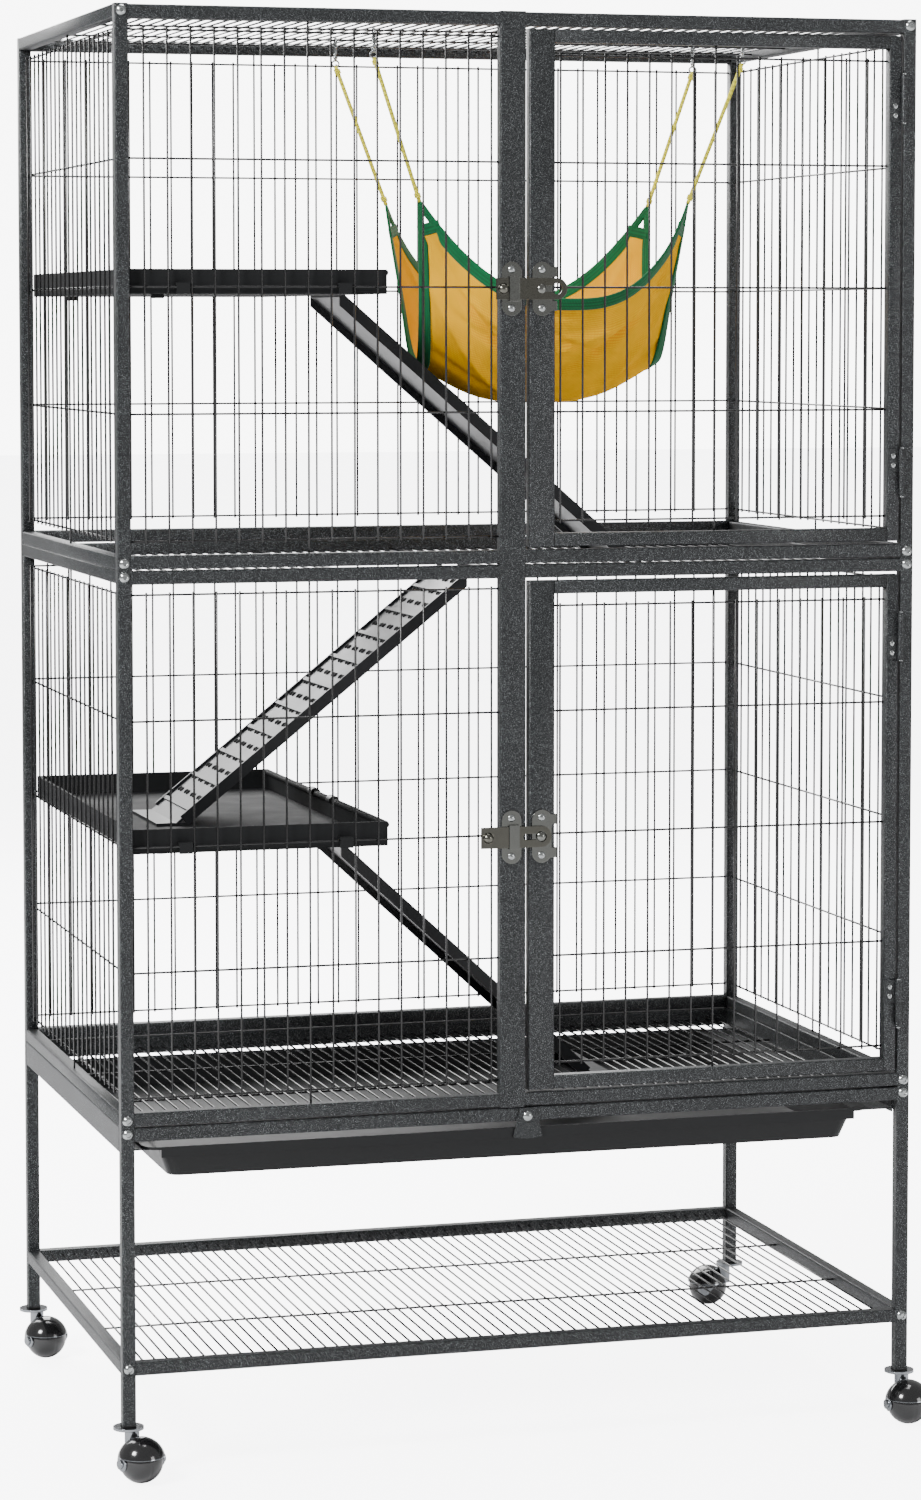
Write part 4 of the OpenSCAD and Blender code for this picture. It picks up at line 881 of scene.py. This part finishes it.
class CAGE_OT_wires(CagePiece, bpy.types.Operator):
    """Adds round wires in place of the front, roof, floor and shelf grilles' six-sided ones"""

    bl_idname = "cage.wires"
    bl_label = "Grilles"

    def execute(self, context):
        xs = -IN_X + FRONT_FIRST + np.arange(16) * WALL_PITCH
        for name, base in BASES.items():
            start, end = wall_wires(-IN_X, POST_LEFT, xs, ROWS, [7], (RAIL_IN, SECTION - RAIL_IN))
            place = np.array([0, -POST_Y, base])
            self.lay(f"{name}_front_grille", [(start + place, end + place)])
        for node, z, crosses in (("roof_grille", ROOF_Z, ROOF_CROSSES),
                                 ("lower_floor_grille", FIELD_Z["lower"], FLOOR_CROSSES),
                                 ("shelf_grille", SHELF_Z, SHELF_CROSSES)):
            self.lay(node, [floor_wires(-IN_X, IN_X, -IN_Y, IN_Y, z, crosses)])
        z = FIELD_Z["upper"]
        left, right, front, back = HOLE
        fields = [floor_wires(*edges, z, FLOOR_CROSSES) for edges in (
            (-IN_X, left - ROD, -IN_Y, IN_Y), (right + ROD + HOLE_SLACK, IN_X, -IN_Y, IN_Y),
            (left, right, -IN_Y, front - ROD / 2), (left, right, back + ROD / 2, IN_Y))]
        spans = [(left - ROD - MM, left - ROD / 2),
                 (right + ROD / 2, right + ROD + HOLE_SLACK + MM)]
        ties = np.array([
            [(x, y, z - WIRE + WELD) for x in span] for y in FLOOR_CROSSES for span in spans])
        self.lay("upper_floor_grille", [*fields, (ties[:, 0], ties[:, 1])])
        rods = np.array([
            [(left - ROD / 2, -IN_Y, z), (left - ROD / 2, IN_Y, z)],
            [(right + ROD / 2, -IN_Y, z), (right + ROD / 2, IN_Y, z)],
            [(left, front - ROD / 2, z), (right, front - ROD / 2, z)],
            [(left, back + ROD / 2, z), (right, back + ROD / 2, z)]])
        edge = round_wires("upper_floor_rods", rods[:, 0], rods[:, 1], ROD, 16)
        fit(edge, "wire", "cage", "wire_enamel")
        return {"FINISHED"}

    def lay(self, node, fields):
        """One mesh of round wires that stands for a grille."""
        sides = bpy.context.scene.cage_looks.wire_sides
        starts, ends = (np.concatenate(each) for each in zip(*fields))
        wires = round_wires(node + "_wires", starts, ends, WIRE, sides)
        fit(wires, "wire", "cage", "wire_enamel", node)


class CAGE_OT_panels(CagePiece, bpy.types.Operator):
    """Adds the back and side panels and the doors: square tubes with round wires welded in"""

    bl_idname = "cage.panels"
    bl_label = "Panels and doors"

    def execute(self, context):
        half, y = TUBE / 2, -POST_Y
        bay = (DOOR_X[0] + STILE, DOOR_X[1] - TUBE)
        back_x = (np.arange(34) - 16.5) * WALL_PITCH
        side_y = (np.arange(21) - 10) * WALL_PITCH
        door_x = bay[0] + DOOR_FIRST + np.arange(15) * DOOR_PITCH
        door_rows = np.array([DOOR_Z[0] + DOOR_ROW, *ROWS[1:4], DOOR_Z[1] - DOOR_ROW])
        for name, base in BASES.items():
            place = np.array([0, POST_Y, base])
            bars = [((x, POST_Y, base), (x, POST_Y, base + SECTION), TUBE)
                    for x in (-POST_X, POST_X)]
            bars += [((-IN_X, POST_Y, z), (IN_X, POST_Y, z), TUBE)
                     for z in (base + RAIL_IN - half, base + SECTION - RAIL_IN + half)]
            wires = wall_wires(-IN_X, IN_X, back_x, ROWS, [10, 23], (RAIL_IN, SECTION - RAIL_IN))
            self.panel(f"{name}_back_panel", "cage", bars, [w * [1, -1, 1] + place for w in wires])
            for s, side in ((-1, "left"), (1, "right")):
                place = np.array([s * POST_X, 0, base])
                bars = [((s * POST_X, -IN_Y, z), (s * POST_X, IN_Y, z), TUBE)
                        for z in (base + half, base + SECTION - half)]
                wires = wall_wires(-IN_Y, IN_Y, side_y, ROWS, [10], (TUBE, SECTION - TUBE))
                self.panel(f"{name}_{side}_panel", "cage", bars,
                           [side_wall(w, s) + place for w in wires])
            place = np.array([0, y, base])
            z0, z1 = base + DOOR_Z[0], base + DOOR_Z[1]
            bars = [((x, y, z0), (x, y, z1), width)
                    for x, width in ((DOOR_X[1] - half, TUBE), (DOOR_X[0] + STILE / 2, STILE))]
            bars += [((bay[0], y, z), (bay[1], y, z), TUBE) for z in (z0 + half, z1 - half)]
            wires = wall_wires(
                *bay, door_x, door_rows, [7], (DOOR_Z[0] + TUBE, DOOR_Z[1] - TUBE))
            self.panel(f"{name}_door", f"{name}_door", bars, [w + place for w in wires])
        return {"FINISHED"}

    def panel(self, node, body, bars, wires):
        """One welded panel: its tubes and its wires, standing for a node."""
        sides = bpy.context.scene.cage_looks.wire_sides
        fit(tubes(node + "_tubes", bars), "frame", body, "frame_enamel", node)
        fit(round_wires(node + "_wires", *wires, WIRE, sides), "wire", body, "wire_enamel")


TREAD_LIP = 2.5 * MM  # how far a tread lies under its flanges' tops
STUD_R, STUD_H, STUD_ROW = 3.1, 1.9, 18.5 * MM
STUD_PAIR, STUD_HALF = 28 * MM, 4.6 * MM  # pitch of the pairs, and half the pitch in a pair
# Each ramp: its hook's axis (x, z), slope in degrees, which way it runs along X, how far its
# flanges' tops pass under the axis, and the length that its rows of studs cover
BEAD_X = -IN_X + 245.8 * MM
RAMPS = {
    "upper": ((BEAD_X, STAND + SECTION + 274.9 * MM), 41.0, 1, 9.2 * MM, 396 * MM),
    "middle": ((0.5 * MM, FIELD_Z["upper"]), 38.8, -1, 3.5 * MM, 366 * MM),
    "lower": ((BEAD_X, STAND + 274.9 * MM), 42.7, 1, 25.5 * MM, 368 * MM)}


class CAGE_OT_ramps(CagePiece, bpy.types.Operator):
    """Adds the rows of grip studs on the ramps' treads: low round domes, in pairs"""

    bl_idname = "cage.ramps"
    bl_label = "Ramp studs"

    def execute(self, context):
        rows, columns = 5, 12
        fall = np.linspace(0, math.pi / 2, rows)[:, None]
        turn = np.linspace(0, 2 * math.pi, columns, endpoint=False)
        dome = np.stack([
            STUD_R * np.cos(fall) * np.cos(turn), STUD_R * np.cos(fall) * np.sin(turn),
            STUD_H * np.sin(fall) + 0 * turn - 0.2], -1).reshape(-1, 3) * MM
        quads = grid_faces(rows, columns, close_columns=True)
        across = [k * STUD_PAIR + d * STUD_HALF for k in (-1.5, -0.5, 0.5, 1.5) for d in (-1, 1)]
        for name, ((x0, z0), slope, way, drop, length) in RAMPS.items():
            a = math.radians(slope)
            at = np.array([(u, y, -drop - TREAD_LIP)
                           for u in np.arange(20 * MM, length, STUD_ROW) for y in across])
            u, y, w = (at[:, None] + dome).reshape(-1, 3).T
            points = np.stack([x0 + way * (u * math.cos(a) + w * math.sin(a)), y,
                               z0 - u * math.sin(a) + w * math.cos(a)], 1)
            faces = (quads + (np.arange(len(at)) * len(dome))[:, None, None]).reshape(-1, 4)
            studs = put_mesh(f"{name}_ramp_studs", points, faces)
            fit(studs, "abs", f"{name}_ramp", "platform_plastic")
        return {"FINISHED"}


# Each caster: its post's side along X and Y, and the way it trails, in degrees
CASTERS = {
    "front_left": (-1, -1, -72), "front_right": (1, -1, -90),
    "back_left": (-1, 1, -68), "back_right": (1, 1, 150)}
BALL, TRAIL = 41.2 * MM, 24 * MM
CAP_R, CAP_WALL, CAP_HOLE = 22.8 * MM, 0.4 * MM, 5.9 * MM
BORE_R = 2.9 * MM


class CAGE_OT_casters(CagePiece, bpy.types.Operator):
    """Adds the glossy balls and the black hood caps of the four casters"""

    bl_idname = "cage.casters"
    bl_label = "Casters"

    def execute(self, context):
        r = BALL / 2
        for name, (sx, sy, heading) in CASTERS.items():
            a = math.radians(heading)
            centre = np.array([
                sx * POST_X + TRAIL * math.cos(a), sy * POST_Y + TRAIL * math.sin(a), r])
            axle = np.array([-math.sin(a), math.cos(a), 0])
            # A ball cut flat round its axle, with the mould's fine parting line round its middle
            t = np.linspace(-math.pi / 2 + 0.17, math.pi / 2 - 0.17, 49)
            groove = 0.35 * MM * np.exp(-(t / 0.02) ** 2)
            profile = np.stack([(r - groove) * np.cos(t), (r - groove) * np.sin(t)], 1)
            lip = [(BORE_R, profile[0, 1] + 0.5 * MM), (BORE_R, -profile[0, 1] - 0.5 * MM)]
            outline = np.concatenate([lip[:1], profile, lip[1:], lip[:1]])
            fit(revolved(f"{name}_ball", outline, centre, axle, 64),
                "ball", f"{name}_wheel", "ball_plastic", f"{name}_wheel")
            t = np.linspace(math.asin(CAP_HOLE / CAP_R), math.pi / 2 - 0.001, 40)
            skin = np.stack([CAP_R * np.cos(t), CAP_R * np.sin(t)], 1)
            shell = np.concatenate([skin, skin[::-1] * (1 - CAP_WALL / CAP_R)])
            fit(revolved(f"{name}_cap", shell, centre, (0, 0, 1), 64),
                "ball", f"{name}_swivel", "ball_plastic")
        return {"FINISHED"}


class CAGE_OT_finish(CagePiece, bpy.types.Operator):
    """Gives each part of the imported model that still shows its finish"""

    bl_idname = "cage.finish"
    bl_label = "Finishes"

    def execute(self, context):
        looks = {
            "frame_enamel": "frame", "wire_enamel": "wire", "nickel_steel": "nickel",
            "zinc_steel": "zinc", "platform_plastic": "abs", "tray_plastic": "tray",
            "socket_plastic": "socket", "ball_plastic": "ball", "chrome": "chrome",
            "hook_steel": "zinc", "hammock_cloth": "cloth", "hammock_cord": "cord"}
        special = {
            "ramp": "tread", "latch_base": "dark_nickel", "latch_keeper": "dark_nickel",
            "base_screws": "zinc", "keeper_screws": "zinc", "door_rivets": "zinc"}
        for part in frame["record"]["subparts"]:
            piece = frame["nodes"][part["node"]]
            kind = part["node"].split("_", 1)[-1]
            paint(piece, special.get(kind, looks[part["material_slot"]]))
        return {"FINISHED"}


OPERATORS = [CAGE_OT_stage, CAGE_OT_cords, CAGE_OT_hammock, CAGE_OT_hooks, CAGE_OT_wires,
             CAGE_OT_panels, CAGE_OT_ramps, CAGE_OT_casters, CAGE_OT_finish]


class CAGE_PT_panel(bpy.types.Panel):
    """Sidebar panel with the settings and a button for each group of pieces"""

    bl_idname = "CAGE_PT_panel"
    bl_label = "Cage"
    bl_space_type = "VIEW_3D"
    bl_region_type = "UI"
    bl_category = "Cage"

    def draw(self, context):
        column = self.layout.column(align=True)
        for key in CageLooks.__annotations__:
            column.prop(context.scene.cage_looks, key)
        column = self.layout.column()
        for kind in OPERATORS:
            column.operator(kind.bl_idname)


CLASSES = [CageLooks, *OPERATORS, CAGE_PT_panel]


def register():
    for kind in CLASSES:
        bpy.utils.register_class(kind)
    bpy.types.Scene.cage_looks = PointerProperty(type=CageLooks)


def unregister():
    del bpy.types.Scene.cage_looks
    for kind in reversed(CLASSES):
        bpy.utils.unregister_class(kind)


def main():
    register()
    for kind in OPERATORS:
        group, call = kind.bl_idname.split(".")
        result = getattr(getattr(bpy.ops, group), call)()
        if "FINISHED" not in result:
            raise RuntimeError(f"{kind.bl_idname} gave {result}")


if __name__ == "__main__":
    main()
